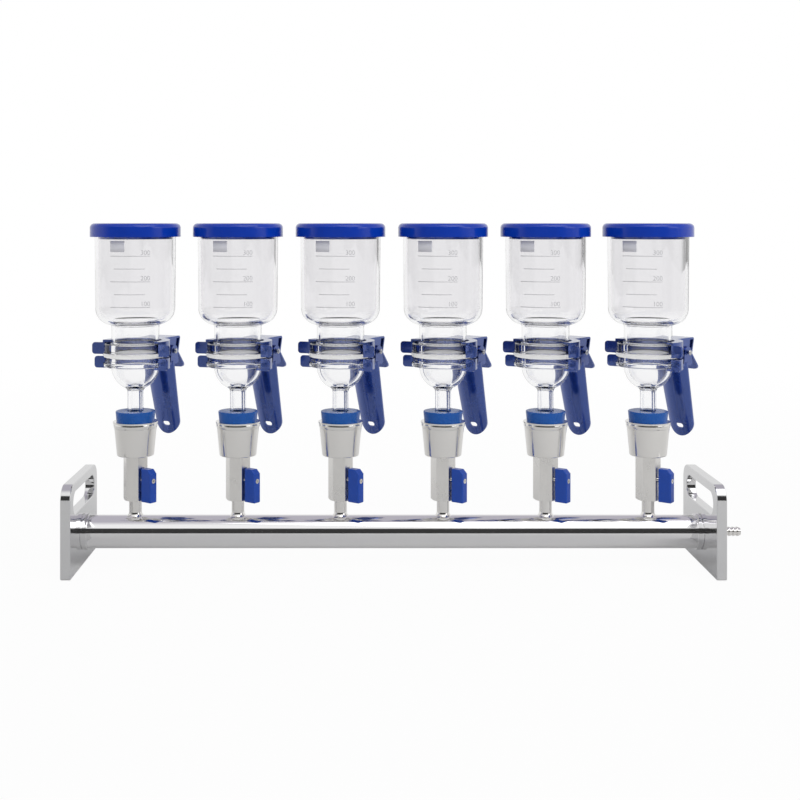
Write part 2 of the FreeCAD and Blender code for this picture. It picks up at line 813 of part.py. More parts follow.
def valve_stem():
    """The stem: a tang in the ball's slot, a shoulder inside the body, a ring groove, and the handle's seat."""
    body = new_body("stem_master")
    ring_low = "stem_ring_place"
    ring_high = "stem_ring_place + stem_ring_width"
    groove = "stem_radius - stem_ring_depth"
    end = "handle_inner + stem_grip"
    spin(
        body,
        "stem_turned",
        [
            ("ball_radius + stem_clearance", "0"),
            ("ball_radius + stem_clearance", "stem_radius"),
            ("cavity_radius", "stem_radius"),
            ("cavity_radius", "stem_shoulder_diameter / 2"),
            ("stem_shoulder_end - stem_clearance", "stem_shoulder_diameter / 2"),
            ("stem_shoulder_end - stem_clearance", "stem_radius"),
            (ring_low, "stem_radius"),
            (ring_low, groove),
            (ring_high, groove),
            (ring_high, "stem_radius"),
            (end, "stem_radius"),
            (end, "screw_thread_diameter / 2"),
            (end + " - stem_grip / 2", "screw_thread_diameter / 2"),
            (end + " - stem_grip / 2", "0"),
        ],
    )
    tang = new_sketch(body, "tang_outline", "XZ_Plane")
    half = "stem_tang_width / 2"
    tip = "ball_radius - stem_tang_depth + stem_clearance"
    outline(tang, box(tip, "0 - " + half, "ball_radius + 2 * stem_clearance", half))
    pad(body, "tang", tang, "stem_tang_length")
    return put(body, z="valve_stem_height")


def stem_ring():
    """The sealing ring in the stem's groove."""
    body = new_body("ring_master")
    ring_high = "stem_ring_place + stem_ring_width"
    spin(body, "ring_turned", box("stem_ring_place", "stem_radius - stem_ring_depth", ring_high, "stem_radius"))
    return put(body, z="valve_stem_height")


def handle_screw():
    """The socket screw that holds the handle on the stem."""
    body = new_body("screw_master")
    seat = "handle_outer - screw_head_height"
    spin(
        body,
        "screw_turned",
        [
            ("handle_inner + stem_grip / 2 + screw_end_gap", "0"),
            ("handle_inner + stem_grip / 2 + screw_end_gap", "screw_thread_diameter / 2"),
            (seat, "screw_thread_diameter / 2"),
            (seat, "screw_head_diameter / 2"),
            ("handle_outer", "screw_head_diameter / 2"),
            ("handle_outer", "0"),
        ],
    )
    socket = new_sketch(body, "socket_hexagon", "YZ_Plane")
    corner = "screw_socket_flats / 2 / cos(30)"
    points = []
    for i in range(6):
        angle = f"({360 // 6 * i} + screw_socket_turn)"
        points.append((f"{corner} * cos{angle}", f"{corner} * sin{angle}"))
    outline(socket, points)
    socket.AttachmentOffset = Placement(Vector(0, 0, value("handle_outer")), Rotation())
    bind(socket, AttachmentOffset__Base__z="handle_outer")
    cut = body.newObject("PartDesign::Pocket", "socket")
    cut.Profile = socket
    bind(cut, Length="screw_socket_depth")
    return put(body, z="valve_stem_height")


def valve_handle():
    """A flat fin on the stem that points along the pipe when the valve is open."""
    body = new_body("handle_master")
    side = new_sketch(body, "handle_side", "XZ_Plane")
    outline(
        side,
        [
            ("handle_inner", "0 - handle_drop"),
            ("handle_outer", "0 - handle_drop"),
            ("handle_outer", "handle_rise - handle_bevel"),
            ("handle_outer - handle_bevel", "handle_rise"),
            ("handle_inner", "handle_rise"),
        ],
    )
    fin = pad(body, "handle_fin", side, "handle_width")
    half = value("handle_width / 2")
    outer = value("handle_outer")

    def outer_edge(edge):
        centre = edge.CenterOfMass
        beside = abs(abs(centre.y) - half) < 0.01
        return beside or (abs(centre.x - outer) < 0.01 and centre.z < 0)

    round_edges(body, fin, "handle_rounding", "handle_edge_radius", outer_edge)
    spin(
        body,
        "stem_socket",
        [
            ("handle_inner - cut_margin", "0"),
            ("handle_inner - cut_margin", "stem_radius"),
            ("handle_inner + stem_grip", "stem_radius"),
            ("handle_inner + stem_grip", "screw_thread_diameter / 2 + screw_recess_fit"),
            ("handle_outer - screw_head_height", "screw_thread_diameter / 2 + screw_recess_fit"),
            ("handle_outer - screw_head_height", "screw_head_diameter / 2 + screw_recess_fit"),
            ("handle_outer + cut_margin", "screw_head_diameter / 2 + screw_recess_fit"),
            ("handle_outer + cut_margin", "0"),
        ],
        cut=True,
    )
    return put(body, z="valve_stem_height")


# Cup and stopper


def stopper_cup():
    """A conical steel cup on the valve, with a rolled lip and a threaded spigot."""
    body = new_body("cup_master")
    thread = "port_diameter / 2 - port_fit"
    spigot_foot = "valve_top_height - cup_spigot_length"
    lip_foot = "cup_rim_height - cup_lip_height"
    top = "cup_top_diameter / 2"
    turned = revolve(
        body,
        "cup_turned",
        [
            ("cup_bore / 2", spigot_foot),
            (thread, spigot_foot),
            (thread, "valve_top_height"),
            ("cup_base_diameter / 2", "valve_top_height"),
            (top + " - cup_slope * cup_lip_height", lip_foot),
            (top + " + cup_lip_width", lip_foot + " + cup_lip_bevel"),
            (top + " + cup_lip_width", "cup_rim_height"),
            ("cup_seat_radius", "cup_rim_height"),
            ("cup_inner_foot_radius", "cup_floor_height"),
            ("cup_bore / 2", "cup_floor_height"),
        ],
    )
    foot = ring_at(("cup_base_diameter / 2", "valve_top_height"))
    round_edges(body, turned, "cup_foot", "cup_foot_radius", foot)
    return body


def stopper():
    """A tapered silicone stopper, bored for the filter base's stem."""
    body = new_body("stopper_master")
    bore = "stem_tube_radius + stopper_bore_gap"
    turned = revolve(
        body,
        "stopper_turned",
        [
            (bore, "stopper_foot_height"),
            ("stopper_foot_radius", "stopper_foot_height"),
            ("stopper_top_radius", "stopper_top_height"),
            (bore, "stopper_top_height"),
        ],
    )
    rim = ring_at(("stopper_top_radius", "stopper_top_height"))
    round_edges(body, turned, "stopper_rim", "stopper_edge_radius", rim)
    return body


# Glass filter holder


def filter_base():
    """The glass base: a stem, a round bowl and a thick ground head with two rims and a groove between them."""
    body = new_body("base_master")
    flange = "base_flange_radius"
    groove = "base_flange_radius - base_groove_depth"
    low_rim = "base_flange_height + base_rim_thickness"
    high_rim = "base_top_height - base_rim_thickness"
    frit_foot = "base_top_height - frit_thickness"
    stem, bore = "stem_tube_radius", "stem_tube_bore / 2"
    bowl_foot = "base_flange_height - sqrt(bowl_radius ^ 2 - stem_tube_radius ^ 2)"
    inner_foot = "base_flange_height - sqrt(bowl_inner_radius ^ 2 - (stem_tube_bore / 2) ^ 2)"
    turned = revolve(
        body,
        "base_turned",
        [
            (bore, "stem_tip_height"),
            (stem, "stem_tip_height"),
            (stem, bowl_foot, "bowl_radius", 1),
            ("bowl_radius", "base_flange_height"),
            (flange, "base_flange_height"),
            (flange, low_rim),
            (groove, low_rim),
            (groove, high_rim),
            (flange, high_rim),
            (flange, "base_top_height"),
            ("frit_diameter / 2", "base_top_height"),
            ("frit_diameter / 2", frit_foot),
            ("bowl_inner_radius", frit_foot),
            ("bowl_inner_radius", "base_flange_height", "bowl_inner_radius", -1),
            (bore, inner_foot),
        ],
    )
    neck = round_edges(body, turned, "bowl_neck", "bowl_neck_radius", ring_at((stem, bowl_foot)))
    rims = ring_at(
        (flange, "base_flange_height"),
        (flange, low_rim),
        (flange, high_rim),
    )
    round_edges(body, neck, "base_rims", "base_edge_radius", rims)
    return body


def frit():
    """The porous glass disc fused into the base's head."""
    body = new_body("frit_master")
    foot = "base_top_height - frit_thickness"
    revolve(body, "frit_disc", box("0", foot, "frit_diameter / 2", "base_top_height"))
    return body


def funnel():
    """The glass funnel: a ground flange, a neck, a round shoulder and a slightly tapered wall."""
    body = new_body("funnel_master")
    inner_neck = "funnel_neck_radius - funnel_wall"
    turned = revolve(
        body,
        "funnel_turned",
        [
            (inner_neck, "base_top_height"),
            ("funnel_flange_radius", "base_top_height"),
            ("funnel_flange_radius", "funnel_flange_top"),
            ("funnel_neck_radius", "funnel_flange_top"),
            ("funnel_neck_radius", "neck_top", "funnel_neck_blend", -1),
            ("blend_end", "blend_end_height", "funnel_shoulder_radius", 1),
            ("funnel_body_radius", "funnel_shoulder_top"),
            ("funnel_mouth_radius", "funnel_mouth_height"),
            ("funnel_mouth_radius - funnel_wall", "funnel_mouth_height"),
            ("funnel_body_radius - funnel_wall", "funnel_shoulder_top", "funnel_inner_shoulder", -1),
            ("inner_blend_end", "inner_blend_height", "funnel_neck_blend + funnel_wall", 1),
            (inner_neck, "neck_top"),
        ],
    )
    rims = ring_at(
        ("funnel_flange_radius", "base_top_height"),
        ("funnel_flange_radius", "funnel_flange_top"),
        ("funnel_neck_radius", "funnel_flange_top"),
    )
    round_edges(body, turned, "flange_rims", "funnel_edge_radius", rims)
    return body


def lid():
    """A flat cap with an overhanging skirt and an inner ring that centres it in the funnel's mouth."""
    body = new_body("lid_master")
    inner = "lid_radius - lid_wall"
    plug_foot = "lid_skirt_height - lid_plug_drop"
    turned = revolve(
        body,
        "lid_turned",
        [
            ("0", "lid_top_height"),
            ("lid_radius", "lid_top_height"),
            ("lid_radius", "lid_skirt_height"),
            (inner, "lid_skirt_height"),
            (inner, "funnel_mouth_height"),
            ("lid_plug_radius", "funnel_mouth_height"),
            ("lid_plug_radius", plug_foot),
            ("lid_plug_radius - lid_plug_wall", plug_foot),
            ("lid_plug_radius - lid_plug_wall", "funnel_mouth_height"),
            ("0", "funnel_mouth_height"),
        ],
    )
    rim = ring_at(("lid_radius", "lid_top_height"))
    round_edges(body, turned, "lid_rim", "lid_edge_radius", rim)
    return body


# Spring clamp. Both jaws are modelled with the pivot on the +X side and the open side towards -X.


def jaw_ring(name, points):
    """A bent strip that reaches round the back of the flanges."""
    body = new_body(name)
    revolve(body, name + "_bend", points, angle="2 * jaw_half_angle")
    return body


def ear(name, length, foot):
    """A flat tongue that leads the jaw's end outwards, with its two free corners rounded."""
    body = new_body(name)
    face = new_sketch(body, name + "_face", "XZ_Plane")
    start = "jaw_radius"
    outline(face, box(start, foot, f"{start} + {length}", f"{foot} + ear_height"))
    plate = pad(body, name + "_plate", face, "jaw_sheet")
    tip = value(f"{start} + {length}")

    def free_corner(edge):
        return edge.BoundBox.XLength < 0.01 and edge.BoundBox.ZLength < 0.01 and edge.CenterOfMass.x > tip - 0.1

    round_edges(body, plate, name + "_corners", "ear_corner_radius", free_corner)
    return body


def ear_pair(master, name):
    """The ear at each end of a jaw, its face flush with the strip's end."""
    ears = []
    for side, sign in (("left", ""), ("right", "0 - ")):
        angle = f"{sign}(jaw_half_angle - ear_inset_angle)"
        ears.append(copy_of(master, f"{name}_{side}", turn=angle))
    return ears


def lug_pair(name, inner, outer, root, tip):
    """Two round-ended lugs beside the pin, from the jaw's plate at one height to past the pin."""
    body = new_body(name)
    side = new_sketch(body, name + "_side", "XZ_Plane")
    left, right = "pivot_reach - lug_radius", "pivot_reach + lug_radius"
    bend = 1 if value(root) > value(tip) else -1
    outline(
        side,
        [
            ("pivot_reach - lug_length / 2", root),
            (left, "pivot_height", "lug_radius", bend),
            ("pivot_reach", tip, "lug_radius", bend),
            (right, "pivot_height"),
            ("pivot_reach + lug_length / 2", root),
        ],
    )
    pad(body, name + "_block", side, f"2 * ({outer})")
    gap = new_sketch(body, name + "_gap_side", "XZ_Plane")
    far = "pivot_reach + lug_length"
    heights = [root + " - cut_margin", tip + " + cut_margin"]
    if bend > 0:
        heights = [tip + " - cut_margin", root + " + cut_margin"]
    outline(gap, box("pivot_reach - lug_length", heights[0], far, heights[1]))
    pocket(body, name + "_gap", gap, f"2 * ({inner})")
    return body


def pin_hole(name, radius):
    hole = doc.addObject("Part::Cylinder", name)
    hole.Placement = Placement(Vector(), Rotation(Vector(1, 0, 0), -90))
    bind(hole, Radius=radius, Height="2 * pivot_reach")
    return put(hole, x="pivot_reach", y="0 - pivot_reach", z="pivot_height")


def upper_jaw():
    """The upper jaw: a strip over the funnel's flange, two ears, a bent thumb tab and the pivot lugs."""
    neck_edge = "funnel_neck_radius + jaw_neck_gap"
    ring = jaw_ring(
        "upper_ring",
        [
            (neck_edge, "upper_plate_foot"),
            ("jaw_radius", "upper_plate_foot"),
            ("jaw_radius", "upper_skirt_foot"),
            ("jaw_outer_radius", "upper_skirt_foot"),
            ("jaw_outer_radius", "upper_plate_top"),
            (neck_edge, "upper_plate_top"),
        ],
    )
    ears = ear_pair(ear("upper_ear", "ear_length", "upper_skirt_foot + ear_lift"), "upper_ear")
    tab = new_body("thumb_tab")
    side = new_sketch(tab, "tab_side", "XZ_Plane")
    slope = "atan((tab_tip_reach - tab_waist_reach) / (tab_waist_height - tab_tip_height))"
    across_x = f"jaw_sheet / cos({slope})"
    outline(
        side,
        [
            ("jaw_radius", "upper_plate_top"),
            ("jaw_radius", "upper_plate_foot"),
            ("tab_reach - jaw_sheet", "upper_plate_foot"),
            ("tab_waist_reach - jaw_sheet", "tab_waist_height"),
            (f"tab_tip_reach - {across_x}", "tab_tip_height"),
            ("tab_tip_reach", "tab_tip_height"),
            ("tab_waist_reach", "tab_waist_height"),
            ("tab_reach", "upper_plate_top"),
        ],
    )
    plate = pad(tab, "tab_plate", side, "tab_width")
    reach, top = value("tab_reach"), value("upper_plate_top")

    def outer_bend(edge):
        centre = edge.CenterOfMass
        return edge.BoundBox.YLength > 5 and abs(centre.x - reach) < 0.01 and abs(centre.z - top) < 0.01

    round_edges(tab, plate, "tab_bend", "tab_bend_radius", outer_bend)
    front = new_body("tab_front")
    face = new_sketch(front, "tab_front_outline", "YZ_Plane")
    half, inset = "tab_width / 2", "tab_width / 2 - tab_corner_radius"
    turn = "tab_tip_height + tab_corner_radius"
    outline(
        face,
        [
            ("0 - " + half, "upper_plate_top"),
            ("0 - " + half, turn, "tab_corner_radius", 1),
            (f"0 - ({inset})", "tab_tip_height"),
            (inset, "tab_tip_height", "tab_corner_radius", 1),
            (half, turn),
            (half, "upper_plate_top"),
        ],
    )
    pad(front, "tab_block", face, "2 * (tab_tip_reach + cut_margin)")
    rounded_tab = doc.addObject("Part::Common", "rounded_tab")
    rounded_tab.Base = tab
    rounded_tab.Tool = front
    inner, outer = "lug_spacing / 2", "upper_lug_face"
    lugs = lug_pair("upper_lugs", inner, outer, "upper_plate_foot + jaw_sheet / 2", "pivot_height - lug_radius")
    whole = joined("upper_jaw_plate", [ring, *ears, rounded_tab, lugs])
    return cut_from("upper_jaw_master", whole, pin_hole("upper_pin_hole", "pin_radius + pin_clearance"))


def lower_jaw():
    """The lower jaw: a strip under the base's flange, two ears, the pivot lugs and the long hanging grip."""
    bowl_edge = "bowl_radius + jaw_neck_gap"
    ring = jaw_ring(
        "lower_ring",
        [
            (bowl_edge, "lower_plate_foot"),
            ("jaw_outer_radius", "lower_plate_foot"),
            ("jaw_outer_radius", "lower_skirt_top"),
            ("jaw_radius", "lower_skirt_top"),
            ("jaw_radius", "lower_plate_top"),
            (bowl_edge, "lower_plate_top"),
        ],
    )
    ears = ear_pair(ear("lower_ear", "lower_ear_length", "lower_plate_foot"), "lower_ear")
    bridge = doc.addObject("Part::Box", "lower_bridge")
    bind(bridge, Length="pivot_reach + lug_radius - jaw_radius", Width="2 * (lower_lug_outer)", Height="jaw_sheet")
    put(bridge, x="jaw_radius", y="0 - (lower_lug_outer)", z="lower_plate_foot")
    inner, outer = "lower_lug_face", "lower_lug_outer"
    lugs = lug_pair("lower_lugs", inner, outer, "lower_plate_foot + jaw_sheet / 2", "pivot_height + lug_radius")
    grip = copy_of(
        hanging_grip(),
        "hanging_grip_placed",
        x="grip_reach",
        z="lower_plate_foot + jaw_sheet / 2",
        turn="0 - grip_lean",
        axis=Vector(0, 1, 0),
    )
    whole = joined("lower_jaw_plate", [ring, *ears, bridge, lugs, grip])
    return cut_from("lower_jaw_master", whole, pin_hole("lower_pin_hole", "pin_radius"))


def hanging_grip():
    """The bowed strip that hangs from the lower jaw: wider at its root, round at its end, with a hanging hole."""
    bow = new_body("grip_bow")
    section = new_sketch(bow, "bow_section", "XY_Plane")
    half = "grip_top_width / 2"
    rise = "grip_bow_radius - sqrt(grip_bow_radius ^ 2 - (grip_top_width / 2) ^ 2)"
    outline(
        section,
        [
            (rise, half, "grip_bow_radius", 1),
            (rise, "0 - " + half),
            (rise + " + jaw_sheet", "0 - " + half, "grip_bow_radius", -1),
            (rise + " + jaw_sheet", half),
        ],
    )
    strip = bow.newObject("PartDesign::Pad", "bow_strip")
    strip.Profile = section
    strip.Reversed = True
    bind(strip, Length="grip_drop + cut_margin")
    shape = new_body("grip_shape")
    front = new_sketch(shape, "grip_front", "YZ_Plane")
    end_half = "grip_end_width / 2"
    end = "0 - grip_drop + grip_end_width / 2"
    outline(
        front,
        [
            ("0 - " + half, "0"),
            ("0 - " + end_half, end, end_half, 1),
            ("0", "0 - grip_drop", end_half, 1),
            (end_half, end),
            (half, "0"),
        ],
    )
    pad(shape, "grip_block", front, "2 * grip_bow_radius")
    hole = new_sketch(shape, "grip_hole_outline", "YZ_Plane")
    flat = "(grip_hole_length - grip_hole_height) / 2"
    low = "0 - grip_drop + grip_hole_above_end - grip_hole_height / 2"
    high = "0 - grip_drop + grip_hole_above_end + grip_hole_height / 2"
    middle = "0 - grip_drop + grip_hole_above_end"
    outline(
        hole,
        [
            ("0 - " + flat, low),
            (flat, low, "grip_hole_height / 2", 1),
            (flat + " + grip_hole_height / 2", middle, "grip_hole_height / 2", 1),
            (flat, high),
            ("0 - " + flat, high, "grip_hole_height / 2", 1),
            ("0 - " + flat + " - grip_hole_height / 2", middle, "grip_hole_height / 2", 1),
        ],
    )
    pocket(shape, "grip_hole", hole)
    strip_cut = doc.addObject("Part::Common", "grip_master")
    strip_cut.Base = bow
    strip_cut.Tool = shape
    return strip_cut


def pivot_pin():
    """The riveted pin through both pairs of lugs."""
    body = new_body("pin_master")
    half = "(lower_lug_outer)"
    spin(
        body,
        "pin_turned",
        [
            (f"0 - {half} - pin_head_height", "0"),
            (f"0 - {half} - pin_head_height", "pin_head_diameter / 2"),
            (f"0 - {half}", "pin_head_diameter / 2"),
            (f"0 - {half}", "pin_radius"),
            (half, "pin_radius"),
            (half, "pin_head_diameter / 2"),
            (half + " + pin_head_height", "pin_head_diameter / 2"),
            (half + " + pin_head_height", "0"),
        ],
    )
    return put(body, x="pivot_reach", z="pivot_height", turn="90")


def torsion_spring():
    """The coiled spring round the pin, as a closed sleeve of its outer and inner size."""
    body = new_body("spring_master")
    half = "spring_length / 2"
    spin(body, "spring_sleeve", box("0 - " + half, "spring_bore / 2", half, "spring_diameter / 2"))
    return put(body, x="pivot_reach", z="pivot_height", turn="90")


def clamp_turn(k):
    return f"clamp_azimuth * 1 deg + {branch_turn(k)}"


def check_document():
    """Stops with the object's name when any feature failed."""
    doc.recompute()
    for item in doc.Objects:
        if "Invalid" in item.State or "Error" in item.State:
            raise RuntimeError(f"{item.Name} is in state {item.State}")


def build():
    fill_sheet()
    end_x = "2 * inner_face + tube_length"
    nodes = {
        "end_plate_left": end_plate("end_plate_left", "0", False),
        "end_plate_right": end_plate("end_plate_right", end_x, True),
        "manifold_tube": manifold_tube(),
        "end_caps": end_caps(),
        "hose_barb": hose_barb(),
        "branch_nipples": grouped("branch_nipples", at_branches(branch_nipple(), "nipple")),
        "valve_bodies": grouped("valve_bodies", at_branches(valve_body(), "valve_body", "valve_azimuth")),
        "valve_inserts": grouped("valve_inserts", at_branches(valve_insert(), "valve_insert")),
        "stopper_cups": grouped("stopper_cups", at_branches(stopper_cup(), "stopper_cup")),
        "stoppers": grouped("stoppers", at_branches(stopper(), "stopper")),
    }
    seats = at_branches(ball_seat("lower_seat", "-"), "lower_seat")
    seats += at_branches(ball_seat("upper_seat", "+"), "upper_seat")
    nodes["ball_seats"] = grouped("ball_seats", seats)
    stem_set = grouped("stem_set", [ball(), valve_stem(), stem_ring(), handle_screw()])
    base_set = grouped("base_set", [filter_base(), frit()])
    pin_set = grouped("pin_set", [pivot_pin(), torsion_spring()])
    per_branch = [
        ("valve_handle", valve_handle(), "valve_azimuth"),
        ("valve_stem", stem_set, "valve_azimuth"),
        ("filter_base", base_set, branch_turn),
        ("funnel", funnel(), branch_turn),
        ("lid", lid(), branch_turn),
        ("clamp_lower_jaw", lower_jaw(), clamp_turn),
        ("clamp_upper_jaw", upper_jaw(), clamp_turn),
        ("clamp_pin", pin_set, clamp_turn),
    ]
    for name, master, turn in per_branch:
        for k, copy in enumerate(at_branches(master, name, turn), start=1):
            nodes[f"{name}_{k}"] = copy
    check_document()
    return nodes


def write_parts(nodes):
    os.makedirs("parts", exist_ok=True)
    for name, item in nodes.items():
        shape = item.Shape
        if shape.isNull() or not shape.isValid() or not shape.Solids:
            raise RuntimeError(f"{name} has no valid solid")
        item.Label = name
    for name, item in nodes.items():
        item.Shape.exportStep(os.path.join("parts", name + ".step"))


write_parts(build())
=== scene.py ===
import json
import math

import bpy
import numpy as np
from bpy.props import FloatProperty, FloatVectorProperty, IntProperty, PointerProperty
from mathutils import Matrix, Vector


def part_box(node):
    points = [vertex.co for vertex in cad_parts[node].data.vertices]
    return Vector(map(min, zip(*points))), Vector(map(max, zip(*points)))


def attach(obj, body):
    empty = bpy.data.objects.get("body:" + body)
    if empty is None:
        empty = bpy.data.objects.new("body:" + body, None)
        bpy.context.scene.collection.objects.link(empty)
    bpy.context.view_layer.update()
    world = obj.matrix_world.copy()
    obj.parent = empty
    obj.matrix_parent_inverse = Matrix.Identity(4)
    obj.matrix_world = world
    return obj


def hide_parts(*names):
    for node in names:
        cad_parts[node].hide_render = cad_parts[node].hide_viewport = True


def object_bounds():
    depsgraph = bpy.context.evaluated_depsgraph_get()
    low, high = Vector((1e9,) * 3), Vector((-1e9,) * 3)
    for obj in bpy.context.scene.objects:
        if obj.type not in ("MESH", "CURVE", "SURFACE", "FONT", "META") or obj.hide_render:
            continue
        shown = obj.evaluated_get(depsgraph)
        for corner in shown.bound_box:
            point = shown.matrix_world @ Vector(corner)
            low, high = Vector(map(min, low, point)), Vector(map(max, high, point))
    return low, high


bl_info = {
    "name": "Vacuum Filtration Manifold",
    "version": (1, 0, 0),
    "blender": (4, 5, 0),
    "location": "View3D > Sidebar > Manifold",
    "description": "Finishes, printed scales, clamp springs and a studio for the filtration manifold",
    "category": "Object",
}

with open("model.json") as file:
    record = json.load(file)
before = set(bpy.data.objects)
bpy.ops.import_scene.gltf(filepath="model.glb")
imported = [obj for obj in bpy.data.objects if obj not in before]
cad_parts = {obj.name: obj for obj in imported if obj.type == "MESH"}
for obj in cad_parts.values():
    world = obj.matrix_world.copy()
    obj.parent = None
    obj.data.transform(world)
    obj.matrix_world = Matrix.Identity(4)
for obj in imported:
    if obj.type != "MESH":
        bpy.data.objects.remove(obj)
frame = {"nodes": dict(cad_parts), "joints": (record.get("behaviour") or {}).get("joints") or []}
CAD_BOX = [list(corner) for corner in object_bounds()]
NODES = frame["nodes"]
JOINTS = {joint["name"]: joint for joint in frame["joints"]}
BRANCHES = [int(name.rsplit("_", 1)[1]) for name in sorted(NODES) if name.startswith("funnel_")]
SETTINGS = "manifold_settings"

SCALE_LINES = 5
LOWEST_VOLUME, LINE_VOLUME = 100, 50  # millilitres at the lowest line and from each line to the next
PRINT_GAP = 0.00001  # between the glass and the back of the print, so that the two never share a face
LETTER_SCALE = 1.4  # size of the built-in letter for figures one unit high
DISC_DEPTH = 0.0052  # from the joint's face down to just below the sintered disc
DISC_REACH = 0.0212  # a little more than the sintered disc's radius
GROUND_BAND = 0.0004  # half height of the band in which the joint's faces are ground
SENSOR_WIDTH = 36.0  # of the camera, in millimetres
BEAD_STEPS = 15  # points up the outer side of a cup's bead
HEAD_STEPS = 7  # points from a riveted head's edge to its middle
COIL_STEPS = 28  # points on each turn of a spring
LEG_STEPS = 8  # points along each leg of a spring
LEG_ROOT = 0.08  # where a spring's leg leaves the coil, as a share of the leg's length


# Places read from the frame


def branch_centre(k):
    low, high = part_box(f"funnel_{k}")
    return (low.x + high.x) / 2, (low.y + high.y) / 2


def pivot_place(k):
    """The clamp pin's middle, the way outwards from the glass and the pin's own direction."""
    joint = JOINTS[f"clamp_open_{k}"]
    middle = np.array(joint["pos_m"])
    along = np.array(joint["axis"])
    outwards = np.cross(along, (0.0, 0.0, 1.0))
    return middle, outwards, along


def reader_turn(k):
    """How far the holder is turned about its own axis, from the clamp's direction on the branch."""
    outwards = pivot_place(k)[1]
    return math.atan2(outwards[1], outwards[0]) - math.radians(settings().marks.clamp_azimuth)


def settings():
    return getattr(bpy.context.scene, SETTINGS)


# Sizes and colours


class MarkSizes(bpy.types.PropertyGroup):
    wall_radius: FloatProperty(
        name="Wall Radius", description="Outer radius of the funnel at the scale's foot", default=0.03835,
        unit="LENGTH")
    wall_taper: FloatProperty(
        name="Wall Taper", description="Growth of the wall's radius over its height", default=0.0106)
    taper_height: FloatProperty(
        name="Taper Height", description="Height at which the wall has its stated radius", default=0.249,
        unit="LENGTH")
    clamp_azimuth: FloatProperty(
        name="Clamp Direction", description="Direction of the clamp's pin from the scale's right side",
        default=56.0)
    foot_height: FloatProperty(
        name="Lowest Line", description="Height of the 100 mL line", default=0.2516, unit="LENGTH")
    line_step: FloatProperty(
        name="Line Step", description="Height of 50 mL", default=0.01215, unit="LENGTH")
    long_line: FloatProperty(
        name="Long Line", description="Length of each numbered line", default=0.0392, unit="LENGTH")
    short_line: FloatProperty(
        name="Short Line", description="Length of each line between two numbers", default=0.0300,
        unit="LENGTH")
    line_start: FloatProperty(
        name="Line Start", description="Place of the long lines' left end from the middle", default=-0.0263,
        unit="LENGTH")
    line_inset: FloatProperty(
        name="Line Inset", description="How far right of the long lines the short ones start", default=0.0038,
        unit="LENGTH")
    line_width: FloatProperty(
        name="Line Width", description="Height of one printed line", default=0.0006, unit="LENGTH")
    figure_height: FloatProperty(
        name="Figure Height", description="Size of the printed numbers", default=0.0045, unit="LENGTH")
    figure_gap: FloatProperty(
        name="Figure Gap", description="From a line up to the number over it", default=0.0015, unit="LENGTH")
    ink_depth: FloatProperty(
        name="Ink Depth", description="Thickness of the fired print", default=0.00006, unit="LENGTH")
    patch_width: FloatProperty(
        name="Patch Width", description="Width of the writing patch", default=0.0146, unit="LENGTH")
    patch_height: FloatProperty(
        name="Patch Height", description="Height of the writing patch", default=0.0105, unit="LENGTH")
    patch_foot: FloatProperty(
        name="Patch Foot", description="Height of the writing patch's lower edge", default=0.3044,
        unit="LENGTH")


class SpringSizes(bpy.types.PropertyGroup):
    coil_radius: FloatProperty(
        name="Coil Radius", description="Radius of the spring's middle line", default=0.0032, unit="LENGTH")
    wire_radius: FloatProperty(
        name="Wire Radius", description="Radius of the spring wire", default=0.0007, unit="LENGTH")
    coil_length: FloatProperty(
        name="Coil Length", description="Length of the coil along the pin", default=0.014, unit="LENGTH")
    turns: IntProperty(name="Turns", description="Turns of the coil", default=9)
    leg_length: FloatProperty(
        name="Leg Length", description="Length of each straight leg", default=0.011, unit="LENGTH")
    inner_leg: FloatProperty(
        name="Inner Leg", description="Length of the leg towards the glass, as a share of the other",
        default=0.96)
    pin_radius: FloatProperty(
        name="Pin Radius", description="Radius of the pivot pin", default=0.0015, unit="LENGTH")
    head_radius: FloatProperty(
        name="Head Radius", description="Radius of the pin's riveted heads", default=0.0027, unit="LENGTH")
    head_height: FloatProperty(
        name="Head Height", description="Height of the pin's riveted heads", default=0.0012, unit="LENGTH")
    head_inset: FloatProperty(
        name="Head Inset", description="From the CAD pin's ends in to the riveted heads", default=0.0006,
        unit="LENGTH")


class BeadSizes(bpy.types.PropertyGroup):
    height: FloatProperty(
        name="Bead Height", description="Height of the rolled bead under each cup's lip", default=0.0047,
        unit="LENGTH")
    below_lip: FloatProperty(
        name="Below the Lip", description="From the cup's top down to the bead", default=0.0015,
        unit="LENGTH")
    foot_radius: FloatProperty(
        name="Foot Radius", description="Radius of the cup at the bead's foot", default=0.0204,
        unit="LENGTH")
    flare: FloatProperty(
        name="Flare", description="Growth of the cup's radius over its height", default=0.096)
    bulge: FloatProperty(
        name="Bulge", description="How far the bead stands out of the cup", default=0.0005, unit="LENGTH")
    inset: FloatProperty(
        name="Inset", description="Depth of the bead's hidden side inside the cup's wall", default=0.0008,
        unit="LENGTH")


